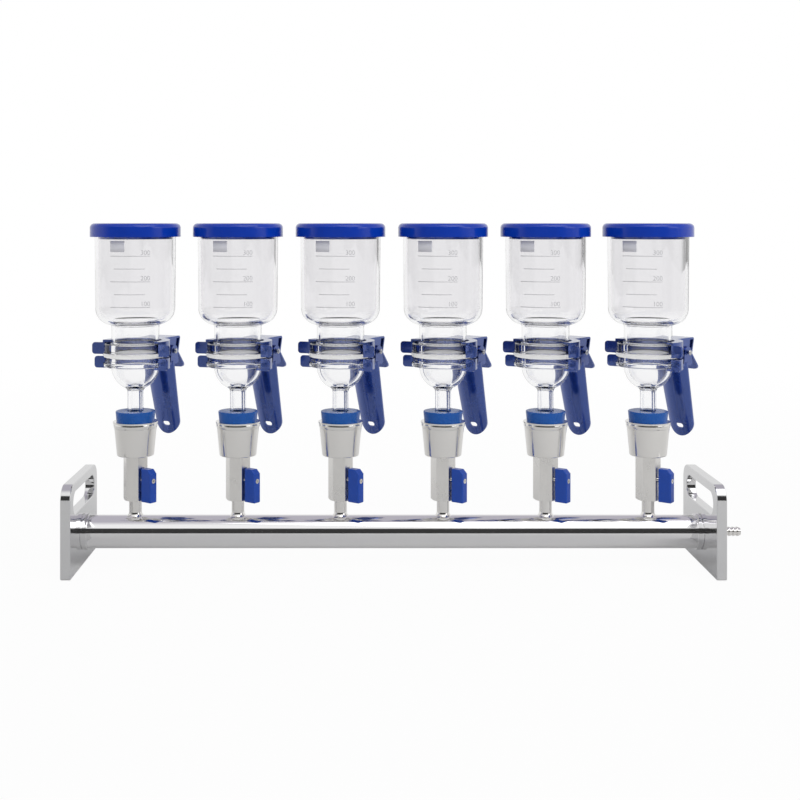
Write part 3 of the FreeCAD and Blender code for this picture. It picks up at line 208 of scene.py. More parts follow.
class FinishColours(bpy.types.PropertyGroup):
    tube_steel: FloatVectorProperty(
        name="Tube Steel", description="Polished tube and its end caps", subtype="COLOR", size=3,
        default=(0.86, 0.855, 0.86))
    plate_steel: FloatVectorProperty(
        name="Plate Steel", description="Polished end plates", subtype="COLOR", size=3,
        default=(0.75, 0.75, 0.755))
    turned_steel: FloatVectorProperty(
        name="Turned Steel", description="Cups, valves and fittings", subtype="COLOR", size=3,
        default=(0.87, 0.855, 0.83))
    lid_blue: FloatVectorProperty(
        name="Lid Blue", description="Moulded lids", subtype="COLOR", size=3, default=(0.002, 0.044, 0.47))
    handle_blue: FloatVectorProperty(
        name="Handle Blue", description="Moulded valve handles", subtype="COLOR", size=3,
        default=(0.012, 0.074, 0.455))
    stopper_blue: FloatVectorProperty(
        name="Stopper Blue", description="Silicone stoppers", subtype="COLOR", size=3,
        default=(0.001, 0.100, 0.44))
    clamp_blue: FloatVectorProperty(
        name="Clamp Blue", description="Anodised clamps", subtype="COLOR", size=3,
        default=(0.035, 0.089, 0.385))
    glass_tint: FloatVectorProperty(
        name="Glass Tint", description="Colour of the clear glass", subtype="COLOR", size=3,
        default=(0.905, 0.900, 0.910))
    # Painted light: a paler tint than the clear glass's, which brightens the flanges and the base.
    flange_tint_with_painted_light: FloatVectorProperty(
        name="Flange Tint With Painted Light", description="Colour of the glass in the flanges and the base", subtype="COLOR",
        size=3, default=(0.975, 0.975, 0.98))
    print_grey: FloatVectorProperty(
        name="Print Grey", description="Fired scale lines and numbers", subtype="COLOR", size=3,
        default=(0.68, 0.68, 0.70))
    patch_grey: FloatVectorProperty(
        name="Patch Grey", description="Writing patch", subtype="COLOR", size=3, default=(0.86, 0.86, 0.95))


class StageSizes(bpy.types.PropertyGroup):
    distance: FloatProperty(
        name="Camera Distance", description="From the camera to the row of funnels", default=1.2195,
        unit="LENGTH")
    camera_height: FloatProperty(
        name="Camera Height", description="Height of the camera over the bench", default=0.335,
        unit="LENGTH")
    camera_offset: FloatProperty(
        name="Camera Offset", description="Camera's place left of the row's middle", default=0.0345,
        unit="LENGTH")
    focal_pixels: FloatProperty(
        name="Focal Length", description="Focal length in pixels of the square picture", default=1250.0)
    principal_x: FloatProperty(
        name="Eye Line Across", description="Picture column straight before the camera", default=356.4)
    foot_row: FloatProperty(
        name="Foot Row", description="Picture row of the bench under the row of funnels", default=563.1)
    picture_side: FloatProperty(
        name="Picture Side", description="Side of the square picture", default=800.0)
    floor_white: FloatProperty(
        name="Floor White", description="Share of plain white that the camera sees in the floor near the row",
        default=0.96)
    floor_side: FloatProperty(
        name="Floor Side", description="Half the side of the square floor", default=6.0, unit="LENGTH")
    key_power: FloatProperty(
        name="Key Power", description="Power of the large soft lamp", default=11.0, unit="POWER")
    key_size: FloatProperty(
        name="Key Size", description="Side of the large soft lamp", default=1.6, unit="LENGTH")
    key_place: FloatVectorProperty(
        name="Key Place", description="Way from the middle to the large soft lamp, and its height", size=3,
        default=(0.6, -0.9, 1.9))
    side_power: FloatProperty(
        name="Side Power", description="Power of the lamp at the right", default=2.5, unit="POWER")
    side_size: FloatProperty(
        name="Side Size", description="Side of the lamp at the right", default=0.7, unit="LENGTH")
    side_place: FloatVectorProperty(
        name="Side Place", description="Way from the middle to the lamp at the right, and its height", size=3,
        default=(1.3, -0.8, 0.7))


class ManifoldSettings(bpy.types.PropertyGroup):
    marks: PointerProperty(type=MarkSizes, name="Marks", description="Printed scale")
    spring: PointerProperty(type=SpringSizes, name="Spring", description="Clamp spring and pin")
    bead: PointerProperty(type=BeadSizes, name="Bead", description="Rolled bead of the stopper cups")
    colours: PointerProperty(type=FinishColours, name="Colours", description="Finishes")
    stage: PointerProperty(type=StageSizes, name="Stage", description="Camera and lamps")


# Surfaces


def piece_from(name, points, faces, smooth=True):
    """A piece of the scene from its points and faces."""
    mesh = bpy.data.meshes.new(name)
    mesh.from_pydata(np.asarray(points, float).tolist(), [], [list(map(int, face)) for face in faces])
    mesh.polygons.foreach_set("use_smooth", np.full(len(mesh.polygons), smooth))
    mesh.validate()
    piece = bpy.data.objects.new(name, mesh)
    bpy.context.scene.collection.objects.link(piece)
    return piece


def grid_faces(rows, columns, close_rows=False, close_columns=False):
    """Quads of a grid of points, rows by columns, wrapped round where asked."""
    i = np.arange(rows if close_rows else rows - 1)
    j = np.arange(columns if close_columns else columns - 1)
    i, j = np.meshgrid(i, j, indexing="ij")
    a = i * columns + j
    b = i * columns + (j + 1) % columns
    c = (i + 1) % rows * columns + (j + 1) % columns
    d = (i + 1) % rows * columns + j
    return np.stack([a, b, c, d], axis=-1).reshape(-1, 4)


def tube_along(path, radius, sides=12):
    """A round tube: each path point p(u) carries a ring p + r (cos v n + sin v b), where n and b are square
    to the path's direction, n being carried along by the part of it that stays square. Both ends are
    closed."""
    path = np.asarray(path, float)
    tangent = np.gradient(path, axis=0)
    tangent /= np.linalg.norm(tangent, axis=1)[:, None]
    normal = np.zeros_like(path)
    start = np.cross(tangent[0], (0.31, 0.52, 0.79))
    normal[0] = start / np.linalg.norm(start)
    for i in range(1, len(path)):
        carried = normal[i - 1] - tangent[i] * (normal[i - 1] @ tangent[i])
        normal[i] = carried / np.linalg.norm(carried)
    binormal = np.cross(tangent, normal)
    v = np.linspace(0, 2 * np.pi, sides, endpoint=False)
    ring = np.cos(v)[None, :, None] * normal[:, None] + np.sin(v)[None, :, None] * binormal[:, None]
    points = (path[:, None] + radius * ring).reshape(-1, 3)
    faces = [list(f) for f in grid_faces(len(path), sides, close_columns=True)]
    faces.append(list(range(sides))[::-1])
    last = (len(path) - 1) * sides
    faces.append([last + n for n in range(sides)])
    return points, faces


def lathe_about(profile, middle, along, sides=40):
    """A turned shape: each profile point (a, r) goes to middle + a d + r (cos v n + sin v b) about the axis
    d. The profile starts and ends on the axis, so both poles are closed."""
    profile = np.asarray(profile, float)
    n = np.cross(along, (0.0, 0.0, 1.0))
    n /= np.linalg.norm(n)
    b = np.cross(along, n)
    v = np.linspace(0, 2 * np.pi, sides, endpoint=False)
    around = np.cos(v)[:, None] * n + np.sin(v)[:, None] * b
    inner = profile[1:-1]
    rings = middle + inner[:, 0, None, None] * along + inner[:, 1, None, None] * around[None]
    poles = middle + profile[[0, -1], 0, None] * along
    points = np.concatenate([rings.reshape(-1, 3), poles])
    faces = [list(f) for f in grid_faces(len(inner), sides, close_columns=True)]
    first, second, last = len(points) - 2, len(points) - 1, (len(inner) - 1) * sides
    faces += [[first, (j + 1) % sides, j] for j in range(sides)]
    faces += [[second, last + j, last + (j + 1) % sides] for j in range(sides)]
    return points, faces


def ring_about(profile, x, y, sides=72):
    """A turned ring: each point (r, z) of a closed profile goes to (x + r cos v, y + r sin v, z). The profile
    runs upwards on its outer side."""
    profile = np.asarray(profile, float)
    v = np.linspace(0, 2 * np.pi, sides, endpoint=False)[None]
    r, z = profile[:, :1], profile[:, 1:]
    points = np.stack([x + r * np.cos(v), y + r * np.sin(v), z + 0 * v], axis=-1).reshape(-1, 3)
    return points, grid_faces(len(profile), sides, close_rows=True, close_columns=True)


def joined_shapes(shapes):
    """Several (points, faces) pairs as one."""
    points, faces, base = [], [], 0
    for shape_points, shape_faces in shapes:
        points.append(np.asarray(shape_points))
        faces += [[n + base for n in face] for face in shape_faces]
        base += len(shape_points)
    return np.concatenate(points), faces


def wall_radius(z):
    """The funnel's outer radius at a height: a cone of small taper."""
    marks = settings().marks
    return marks.wall_radius + marks.wall_taper * np.maximum(z - marks.taper_height, 0)


def on_wall(k, across, z, depth):
    """Wraps flat places onto the funnel: arc length across becomes an angle from the reader's side, and the
    point lies at that angle, at the wall's radius plus depth."""
    x, y = branch_centre(k)
    radius = wall_radius(z)
    angle = across / radius - np.pi / 2 + reader_turn(k)
    reach = radius + depth
    return np.stack([x + reach * np.cos(angle), y + reach * np.sin(angle), z], axis=-1)


def printed_bar(k, left, right, low, high, steps=28):
    """A thin bar of print: a rectangle's outline, in depth and height, carried along the wall's arc."""
    depth = settings().marks.ink_depth
    across = np.linspace(left, right, steps)[:, None]
    lift = np.array([PRINT_GAP, depth, depth, PRINT_GAP])[None]
    height = np.array([low, low, high, high])[None]
    ones = np.ones((steps, 4))
    points = on_wall(k, across * ones, height * ones, lift * ones).reshape(-1, 3)
    faces = [list(f)[::-1] for f in grid_faces(steps, 4, close_columns=True)]
    faces += [[0, 1, 2, 3], [4 * steps - 1, 4 * steps - 2, 4 * steps - 3, 4 * steps - 4]]
    return points, faces


def printed_figure(k, text, right, low):
    """A number in the plain built-in letter, wrapped onto the wall so that it ends at the given place."""
    marks = settings().marks
    curve = bpy.data.curves.new("figure", "FONT")
    curve.body = text
    curve.size = marks.figure_height * LETTER_SCALE
    curve.align_x = "RIGHT"
    curve.extrude = marks.ink_depth / 2
    holder = bpy.data.objects.new("figure", curve)
    mesh = bpy.data.meshes.new_from_object(holder)
    flat = np.zeros(len(mesh.vertices) * 3)
    mesh.vertices.foreach_get("co", flat)
    flat = flat.reshape(-1, 3)
    depth = flat[:, 2] + marks.ink_depth / 2 + PRINT_GAP
    points = on_wall(k, flat[:, 0] + right, flat[:, 1] + low, depth)
    faces = [list(p.vertices) for p in mesh.polygons]
    bpy.data.objects.remove(holder)
    bpy.data.curves.remove(curve)
    bpy.data.meshes.remove(mesh)
    return points, faces


# Shared surface effects


def new_group(name, inputs, outputs):
    """The shared node group of that name, and whether it is new and still empty."""
    group = bpy.data.node_groups.get(name)
    if group:
        return group, False
    group = bpy.data.node_groups.new(name, "ShaderNodeTree")
    for label, kind, default in inputs:
        socket = group.interface.new_socket(label, in_out="INPUT", socket_type=kind)
        if default is not None:
            socket.default_value = default
    for label, kind in outputs:
        group.interface.new_socket(label, in_out="OUTPUT", socket_type=kind)
    return group, True


def add(tree, kind, **values):
    """A node with its properties, and its unlinked inputs, set by name."""
    node = tree.nodes.new(kind)
    for name, value in values.items():
        if hasattr(node, name):
            setattr(node, name, value)
        else:
            node.inputs[name.replace("_", " ")].default_value = value
    return node


def maths(tree, operation, a, b=None, clamp=False):
    """One arithmetic step on sockets or numbers."""
    node = tree.nodes.new("ShaderNodeMath")
    node.operation = operation
    node.use_clamp = clamp
    for socket, value in zip(node.inputs, (a, b)):
        if value is None:
            continue
        if isinstance(value, (int, float)):
            socket.default_value = value
        else:
            tree.links.new(value, socket)
    return node.outputs[0]


def ramp(tree, value, stops):
    """A value turned into a shade by (place, shade) stops, each shade grey or three channels."""
    node = tree.nodes.new("ShaderNodeValToRGB")
    elements = node.color_ramp.elements
    while len(elements) < len(stops):
        elements.new(0.5)
    for element, (place, shade) in zip(elements, stops):
        element.position = place
        element.color = (shade, shade, shade, 1) if isinstance(shade, (int, float)) else (*shade, 1)
    tree.links.new(value, node.inputs[0])
    return node.outputs[0]


def coordinates(tree, space):
    """The X, Y and Z outputs of a texture space."""
    place = add(tree, "ShaderNodeTexCoord")
    split = add(tree, "ShaderNodeSeparateXYZ")
    tree.links.new(place.outputs[space], split.inputs[0])
    return split.outputs


def seen_directly(tree, light_path):
    """1 for rays from the camera and rays through glass, and 0 for all others."""
    return maths(
        tree, "MAXIMUM", light_path.outputs["Is Camera Ray"], light_path.outputs["Is Transmission Ray"])


def grain_group():
    """Fine grain stretched along an axis, and a slow patchy variation."""
    group, fresh = new_group(
        "Grain",
        [("Stretch", "NodeSocketVector", (1, 1, 1)), ("Scale", "NodeSocketFloat", 800.0),
         ("Patch Scale", "NodeSocketFloat", 30.0)],
        [("Height", "NodeSocketFloat"), ("Patches", "NodeSocketFloat")])
    if fresh:
        start, end = add(group, "NodeGroupInput"), add(group, "NodeGroupOutput")
        place = add(group, "ShaderNodeTexCoord")
        scaled = add(group, "ShaderNodeVectorMath", operation="MULTIPLY")
        group.links.new(place.outputs["Object"], scaled.inputs[0])
        group.links.new(start.outputs["Stretch"], scaled.inputs[1])
        for output, scale, detail in (("Height", "Scale", 3.0), ("Patches", "Patch Scale", 4.0)):
            noise = add(group, "ShaderNodeTexNoise", Detail=detail, Roughness=0.6)
            group.links.new(scaled.outputs[0], noise.inputs["Vector"])
            group.links.new(start.outputs[scale], noise.inputs["Scale"])
            group.links.new(noise.outputs["Fac"], end.inputs[output])
    return group


def handling_group():
    """Roughness of a surface that hands have touched: faint smears over an even polish."""
    group, fresh = new_group(
        "Handling Smears",
        [("Polish", "NodeSocketFloat", 0.1), ("Smear", "NodeSocketFloat", 0.08),
         ("Scale", "NodeSocketFloat", 45.0)],
        [("Roughness", "NodeSocketFloat")])
    if fresh:
        start, end = add(group, "NodeGroupInput"), add(group, "NodeGroupOutput")
        place = add(group, "ShaderNodeTexCoord")
        noise = add(group, "ShaderNodeTexNoise", Detail=6.0, Roughness=0.65, Distortion=0.6)
        group.links.new(place.outputs["Object"], noise.inputs["Vector"])
        group.links.new(start.outputs["Scale"], noise.inputs["Scale"])
        mask = ramp(group, noise.outputs["Fac"], [(0.46, 0.0), (0.72, 1.0)])
        smear = maths(group, "MULTIPLY", mask, start.outputs["Smear"])
        group.links.new(maths(group, "ADD", smear, start.outputs["Polish"]), end.inputs["Roughness"])
    return group


def edge_group():
    """A mask along sharp edges, where handling brightens or rubs the finish: how far the rounded normal
    leaves the true one, broken up by noise."""
    group, fresh = new_group(
        "Edge Wear",
        [("Width", "NodeSocketFloat", 0.0006), ("Strength", "NodeSocketFloat", 2.0)],
        [("Mask", "NodeSocketFloat")])
    if fresh:
        start, end = add(group, "NodeGroupInput"), add(group, "NodeGroupOutput")
        bevel = add(group, "ShaderNodeBevel", samples=4)
        group.links.new(start.outputs["Width"], bevel.inputs["Radius"])
        true = add(group, "ShaderNodeNewGeometry")
        dot = add(group, "ShaderNodeVectorMath", operation="DOT_PRODUCT")
        group.links.new(bevel.outputs[0], dot.inputs[0])
        group.links.new(true.outputs["Normal"], dot.inputs[1])
        away = maths(group, "SUBTRACT", 1.0, dot.outputs["Value"])
        place = add(group, "ShaderNodeTexCoord")
        noise = add(group, "ShaderNodeTexNoise", Scale=260.0, Detail=4.0)
        group.links.new(place.outputs["Object"], noise.inputs["Vector"])
        broken = maths(group, "MULTIPLY", away, maths(group, "ADD", noise.outputs["Fac"], 0.3))
        scaled = maths(group, "MULTIPLY", broken, start.outputs["Strength"], clamp=True)
        group.links.new(scaled, end.inputs["Mask"])
    return group


def use_group(tree, group, **values):
    node = tree.nodes.new("ShaderNodeGroup")
    node.node_tree = group
    for name, value in values.items():
        node.inputs[name.replace("_", " ")].default_value = value
    return node


def new_material(name, **values):
    """A material with one Principled shader, whose sockets take the given values by name."""
    material = bpy.data.materials.new(name)
    material.use_nodes = True
    tree = material.node_tree
    shader = next(node for node in tree.nodes if node.type == "BSDF_PRINCIPLED")
    for label, value in values.items():
        shader.inputs[label.replace("_", " ")].default_value = value
    return material, tree, shader


def bump_from(tree, shader, height, strength, distance):
    bump = add(tree, "ShaderNodeBump", Strength=strength, Distance=distance)
    tree.links.new(height, bump.inputs["Height"])
    tree.links.new(bump.outputs["Normal"], shader.inputs["Normal"])


def mixed(tree, mask, low, high):
    """Goes from one colour to another as the mask goes from 0 to 1. Each is a socket or three channels."""
    mix = tree.nodes.new("ShaderNodeMix")
    mix.data_type = "RGBA"
    for label, colour in (("A", low), ("B", high)):
        if isinstance(colour, bpy.types.NodeSocket):
            tree.links.new(colour, mix.inputs[label])
        else:
            mix.inputs[label].default_value = (*colour, 1)
    tree.links.new(mask, mix.inputs["Factor"])
    return mix.outputs["Result"]


def shaded(colour, factor):
    return tuple(min(max(channel * factor, 0.0), 1.0) for channel in colour)


# Shades by place, as (place, shade) stops. The glass goes by height over the joint, the floor by the way
# behind the row and the room by direction. Stops run from 0 to 1, so heights and ways are scaled to fit.

WALL_SCALE = 10.0
# Painted light on the flanges: where their paler tint gives way to the wall's grey, in tenths of a metre over
# the joint.
FLANGE_LIGHT_FADE = [(0.30, 0.0), (0.42, 1.0)]
FLOOR_SCALE = 0.4
FLOOR_WHITENS = (0.1, 0.6)
MIRROR_START = 0.1
MIRRORED_FLOOR = [(0.0, 0.0), (0.5, 0.42)]
FRONT_WALL = [(0.0, 0.04), (0.50, 0.04), (0.58, 1.0)]
SIDE_WALLS = [(0.0, 0.88), (0.3, 0.80), (0.6, (0.52, 0.50, 0.56)), (1.0, (0.52, 0.50, 0.56))]
TOWARDS_CAMERA = [(0.15, 0.0), (0.55, 1.0)]
DARK_CARD = [(0.38, 0.0), (0.50, 0.75)]
EVEN_GREY = (0.58, 0.58, 0.58)
BENCH_GREY = (0.76, 0.76, 0.76)


# Materials


def steel_material(name, colour, polish, smear, stretch, grain_scale, relief, spread=0.06, edge_shade=1.2):
    """Steel whose polishing lines run one way, with faint smears and brighter edges."""
    material, tree, shader = new_material(name, Metallic=1.0)
    grain = use_group(tree, grain_group(), Stretch=stretch, Scale=grain_scale, Patch_Scale=25.0)
    smears = use_group(tree, handling_group(), Polish=polish, Smear=smear)
    edges = use_group(tree, edge_group(), Width=0.0005, Strength=1.6)
    uneven = maths(tree, "MULTIPLY", grain.outputs["Height"], spread)
    tree.links.new(maths(tree, "ADD", smears.outputs["Roughness"], uneven), shader.inputs["Roughness"])
    base = mixed(tree, grain.outputs["Patches"], shaded(colour, 0.95), shaded(colour, 1.04))
    brighter = mixed(tree, edges.outputs["Mask"], base, shaded(colour, edge_shade))
    tree.links.new(brighter, shader.inputs["Base Color"])
    bump_from(tree, shader, grain.outputs["Height"], strength=relief, distance=0.00004)
    return material


def tube_material():
    return steel_material(
        "Polished Tube", settings().colours.tube_steel, polish=0.045, smear=0.05, stretch=(0.05, 1, 1),
        grain_scale=1400.0, relief=0.05)


def plate_material():
    return steel_material(
        "Polished Plate", settings().colours.plate_steel, polish=0.07, smear=0.04, stretch=(1, 1, 1),
        grain_scale=900.0, relief=0.02)


def turned_material():
    made = bpy.data.materials.get("Turned Steel")
    if made:
        return made
    return steel_material(
        "Turned Steel", settings().colours.turned_steel, polish=0.12, smear=0.08, stretch=(0.03, 0.03, 1),
        grain_scale=2600.0, relief=0.10)


def valve_material():
    return steel_material(
        "Drawn Hexagonal Bar", settings().colours.turned_steel, polish=0.20, smear=0.08, stretch=(1, 1, 0.04),
        grain_scale=1500.0, relief=0.10)


def spring_material():
    return steel_material(
        "Spring Wire", (0.60, 0.60, 0.60), polish=0.22, smear=0.05, stretch=(1, 1, 1), grain_scale=2500.0,
        relief=0.05)


def moulded_material(name, colour, gloss, coat, rub=0.45):
    """Moulded plastic: even colour with faint flow variation, a fine skin texture and rubbed edges."""
    material, tree, shader = new_material(
        name, IOR=1.46, Specular_IOR_Level=0.35, Coat_Weight=coat, Coat_Roughness=0.08)
    grain = use_group(tree, grain_group(), Scale=1100.0, Patch_Scale=55.0)
    smears = use_group(tree, handling_group(), Polish=gloss, Smear=0.10, Scale=70.0)
    edges = use_group(tree, edge_group(), Width=0.0005, Strength=1.2)
    tree.links.new(smears.outputs["Roughness"], shader.inputs["Roughness"])
    flow = mixed(tree, grain.outputs["Patches"], shaded(colour, 0.86), shaded(colour, 1.12))
    rubbing = maths(tree, "MULTIPLY", edges.outputs["Mask"], rub)
    rubbed = mixed(tree, rubbing, flow, shaded([c + 0.05 for c in colour], 1.5))
    tree.links.new(rubbed, shader.inputs["Base Color"])
    bump_from(tree, shader, grain.outputs["Height"], strength=0.10, distance=0.00006)
    return material


def silicone_material():
    """Soft cast silicone: satin, slightly translucent, with a talc-fine bloom."""
    colour = settings().colours.stopper_blue
    material, tree, shader = new_material(
        "Cast Silicone", IOR=1.41, Subsurface_Weight=0.12, Subsurface_Scale=0.002, Sheen_Weight=0.05,
        Sheen_Roughness=0.4)
    shader.inputs["Subsurface Radius"].default_value = (0.2, 0.5, 1.0)
    grain = use_group(tree, grain_group(), Scale=1600.0, Patch_Scale=80.0)
    smears = use_group(tree, handling_group(), Polish=0.26, Smear=0.12, Scale=60.0)
    tree.links.new(smears.outputs["Roughness"], shader.inputs["Roughness"])
    pale = shaded([c + 0.01 for c in colour], 1.14)
    base = mixed(tree, grain.outputs["Patches"], shaded(colour, 0.88), pale)
    tree.links.new(base, shader.inputs["Base Color"])
    bump_from(tree, shader, grain.outputs["Height"], strength=0.16, distance=0.00008)
    return material


def anodised_material(rub=0.6):
    """Dyed aluminium sheet: metal under a thin clear skin, fine etched grain, paler rubbed edges."""
    colour = settings().colours.clamp_blue
    material, tree, shader = new_material(
        "Anodised Sheet", Metallic=0.82, Coat_Weight=0.8, Coat_Roughness=0.10, Coat_IOR=1.7, IOR=1.6)
    grain = use_group(tree, grain_group(), Stretch=(1, 1, 0.5), Scale=1900.0, Patch_Scale=40.0)
    smears = use_group(tree, handling_group(), Polish=0.24, Smear=0.10, Scale=50.0)
    edges = use_group(tree, edge_group(), Width=0.0004, Strength=1.5)
    tree.links.new(smears.outputs["Roughness"], shader.inputs["Roughness"])
    dye = mixed(tree, grain.outputs["Patches"], shaded(colour, 0.85), shaded(colour, 1.15))
    rubbing = maths(tree, "MULTIPLY", edges.outputs["Mask"], rub)
    rubbed = mixed(tree, rubbing, dye, shaded([c + 0.08 for c in colour], 1.4))
    tree.links.new(rubbed, shader.inputs["Base Color"])
    bump_from(tree, shader, grain.outputs["Height"], strength=0.14, distance=0.00005)
    return material


def glass_material(level, most_frost=0.15):
    """Glass with faint drawing lines. At the joint's level the face is ground. The thin wall above it takes
    the glass's grey tint, and the thick flanges and the base a paler one: painted light that brightens them."""
    colours = settings().colours
    material, tree, shader = new_material("Clear Glass", Transmission_Weight=1.0, IOR=1.473)
    grain = use_group(tree, grain_group(), Stretch=(1, 1, 0.15), Scale=90.0, Patch_Scale=400.0)
    height = maths(tree, "SUBTRACT", coordinates(tree, "Object")["Z"], level)
    # Painted light: the flanges and the base get the paler tint, which fades into the wall's grey above the
    # joint.
    wall = ramp(tree, maths(tree, "MULTIPLY", height, WALL_SCALE), FLANGE_LIGHT_FADE)
    tree.links.new(mixed(tree, wall, colours.flange_tint_with_painted_light, colours.glass_tint), shader.inputs["Base Color"])
    ground = maths(tree, "LESS_THAN", maths(tree, "ABSOLUTE", height), GROUND_BAND)
    patchy = maths(tree, "MULTIPLY", grain.outputs["Patches"], most_frost)
    frost = maths(tree, "MULTIPLY", ground, patchy)
    tree.links.new(frost, shader.inputs["Roughness"])
    bump_from(tree, shader, grain.outputs["Height"], strength=0.02, distance=0.0002)
    return material


def frit_material():
    """Sintered glass: white, rough and grainy. A faint glow stands for the lamps' light that the clear glass
    round it passes on."""
    material, tree, shader = new_material("Sintered Disc", Roughness=0.9, Emission_Strength=0.2)
    shader.inputs["Emission Color"].default_value = (1, 1, 1, 1)
    grain = use_group(tree, grain_group(), Scale=2400.0, Patch_Scale=700.0)
    base = mixed(tree, grain.outputs["Patches"], (0.86, 0.86, 0.86), (0.97, 0.97, 0.96))
    tree.links.new(base, shader.inputs["Base Color"])
    bump_from(tree, shader, grain.outputs["Height"], strength=0.5, distance=0.0002)
    return material


def print_material(name, colour):
    """Fired enamel: matt, a little uneven in depth."""
    material, tree, shader = new_material(name)
    grain = use_group(tree, grain_group(), Scale=3000.0, Patch_Scale=900.0)
    base = mixed(tree, grain.outputs["Patches"], shaded(colour, 0.9), shaded(colour, 1.1))
    tree.links.new(base, shader.inputs["Base Color"])
    rough = maths(tree, "ADD", maths(tree, "MULTIPLY", grain.outputs["Height"], 0.2), 0.4)
    tree.links.new(rough, shader.inputs["Roughness"])
    bump_from(tree, shader, grain.outputs["Height"], strength=0.1, distance=0.00003)
    return material


def seat_material():
    """Pressed fluoropolymer rings: white and waxy."""
    material, tree, shader = new_material("White Ring Seats", IOR=1.38, Subsurface_Weight=0.1)
    grain = use_group(tree, grain_group(), Scale=1500.0, Patch_Scale=300.0)
    base = mixed(tree, grain.outputs["Patches"], (0.80, 0.80, 0.78), (0.90, 0.90, 0.89))
    tree.links.new(base, shader.inputs["Base Color"])
    smears = use_group(tree, handling_group(), Polish=0.42, Smear=0.1)
    tree.links.new(smears.outputs["Roughness"], shader.inputs["Roughness"])
    bump_from(tree, shader, grain.outputs["Height"], strength=0.1, distance=0.00005)
    return material


def dress(material, *names):
    """Gives CAD nodes one finish."""
    for name in names:
        slots = NODES[name].data.materials
        slots.clear()
        slots.append(material)


def each_branch(stem):
    return [f"{stem}_{k}" for k in BRANCHES]


# Operators


class MANIFOLD_OT_dress_steel(bpy.types.Operator):
    """Finishes the tube, plates, nipples, valves, cups and hose barb"""

    bl_idname = "manifold.dress_steel"
    bl_label = "Dress Steel"

    def execute(self, context):
        dress(tube_material(), "manifold_tube", "end_caps")
        dress(plate_material(), "end_plate_left", "end_plate_right")
        turned = turned_material()
        dress(turned, "branch_nipples", "stopper_cups", "valve_inserts", "hose_barb")
        dress(turned, *each_branch("valve_stem"))
        dress(valve_material(), "valve_bodies")
        dress(seat_material(), "ball_seats")
        return {"FINISHED"}


class MANIFOLD_OT_dress_blue(bpy.types.Operator):
    """Finishes the lids, handles, stoppers and clamps"""

    bl_idname = "manifold.dress_blue"
    bl_label = "Dress Blue Pieces"

    def execute(self, context):
        colours = settings().colours
        dress(moulded_material("Moulded Lid", colours.lid_blue, gloss=0.20, coat=0.3), *each_branch("lid"))
        handle = moulded_material("Moulded Handle", colours.handle_blue, gloss=0.28, coat=0.1)
        dress(handle, *each_branch("valve_handle"))
        dress(silicone_material(), "stoppers")
        anodised = anodised_material()
        dress(anodised, *each_branch("clamp_lower_jaw"), *each_branch("clamp_upper_jaw"))
        return {"FINISHED"}


class MANIFOLD_OT_dress_glass(bpy.types.Operator):
    """Finishes the funnels and the filter bases with their sintered discs"""

    bl_idname = "manifold.dress_glass"
    bl_label = "Dress Glass"

    def execute(self, context):
        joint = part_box(f"funnel_{BRANCHES[0]}")[0].z
        clear = glass_material(joint)
        dress(clear, *each_branch("funnel"))
        frit = frit_material()
        for k in BRANCHES:
            dress(clear, f"filter_base_{k}")
            mesh = NODES[f"filter_base_{k}"].data
            mesh.materials.append(frit)
            self.mark_disc(mesh, k, joint)
        return {"FINISHED"}

    def mark_disc(self, mesh, k, top):
        """The disc's faces get the second slot, and so do the glass faces that are fused to it, because light
        that slipped between two faces at one place would be lost inside the disc."""
        x, y = branch_centre(k)
        centres = np.zeros(len(mesh.polygons) * 3)
        mesh.polygons.foreach_get("center", centres)
        centres = centres.reshape(-1, 3)
        reach = np.hypot(centres[:, 0] - x, centres[:, 1] - y)
        disc = (centres[:, 2] > top - DISC_DEPTH) & (reach < DISC_REACH)
        mesh.polygons.foreach_set("material_index", disc.astype(np.int32))
        mesh.update()


class MANIFOLD_OT_print_scales(bpy.types.Operator):
    """Prints the scale, its numbers and the writing patch on each funnel"""

    bl_idname = "manifold.print_scales"
    bl_label = "Print Scales"

    def execute(self, context):
        colours = settings().colours
        ink = print_material("Fired Print", colours.print_grey)
        patch_ink = print_material("Writing Patch", colours.patch_grey)
        for k in BRANCHES:
            lines = piece_from(f"scale_lines_{k}", *self.scale(k))
            lines.data.materials.append(ink)
            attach(lines, f"holder_{k}")
            patch = piece_from(f"writing_patch_{k}", *self.patch(k))
            patch.data.materials.append(patch_ink)
            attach(patch, f"holder_{k}")
        return {"FINISHED"}

    def scale(self, k):
        marks = settings().marks
        shapes = []
        for step in range(SCALE_LINES):
            z = marks.foot_height + step * marks.line_step
            numbered = step % 2 == 0
            left = marks.line_start if numbered else marks.line_start + marks.line_inset
            right = left + (marks.long_line if numbered else marks.short_line)
            shapes.append(printed_bar(k, left, right, z, z + marks.line_width))
            if numbered:
                text = str(LOWEST_VOLUME + LINE_VOLUME * step)
                shapes.append(printed_figure(k, text, right, z + marks.figure_gap))
        return joined_shapes(shapes)

    def patch(self, k):
        marks = settings().marks
        left, foot = marks.line_start, marks.patch_foot
        return printed_bar(k, left, left + marks.patch_width, foot, foot + marks.patch_height)


class MANIFOLD_OT_roll_beads(bpy.types.Operator):
    """Rolls the bead under the lip of each stopper cup"""

    bl_idname = "manifold.roll_beads"
    bl_label = "Roll Cup Beads"

    def execute(self, context):
        finish = turned_material()
        shapes = [ring_about(self.profile(), *branch_centre(k)) for k in BRANCHES]
        beads = piece_from("cup_beads", *joined_shapes(shapes))
        beads.data.materials.append(finish)
        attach(beads, "manifold")
        return {"FINISHED"}

    def profile(self):
        """The outer side is r(u) = foot + flare h u + bulge sin(pi u). The inner side lies inside the
        cup's wall."""
        bead = settings().bead
        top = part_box("stopper_cups")[1].z - bead.below_lip
        u = np.linspace(0, 1, BEAD_STEPS)
        z = top - bead.height * (1 - u)
        outer = bead.foot_radius + bead.flare * bead.height * u + bead.bulge * np.sin(np.pi * u)
        hidden = bead.foot_radius - bead.inset
        return [*np.stack([outer, z], axis=1), (hidden, top), (hidden, top - bead.height)]


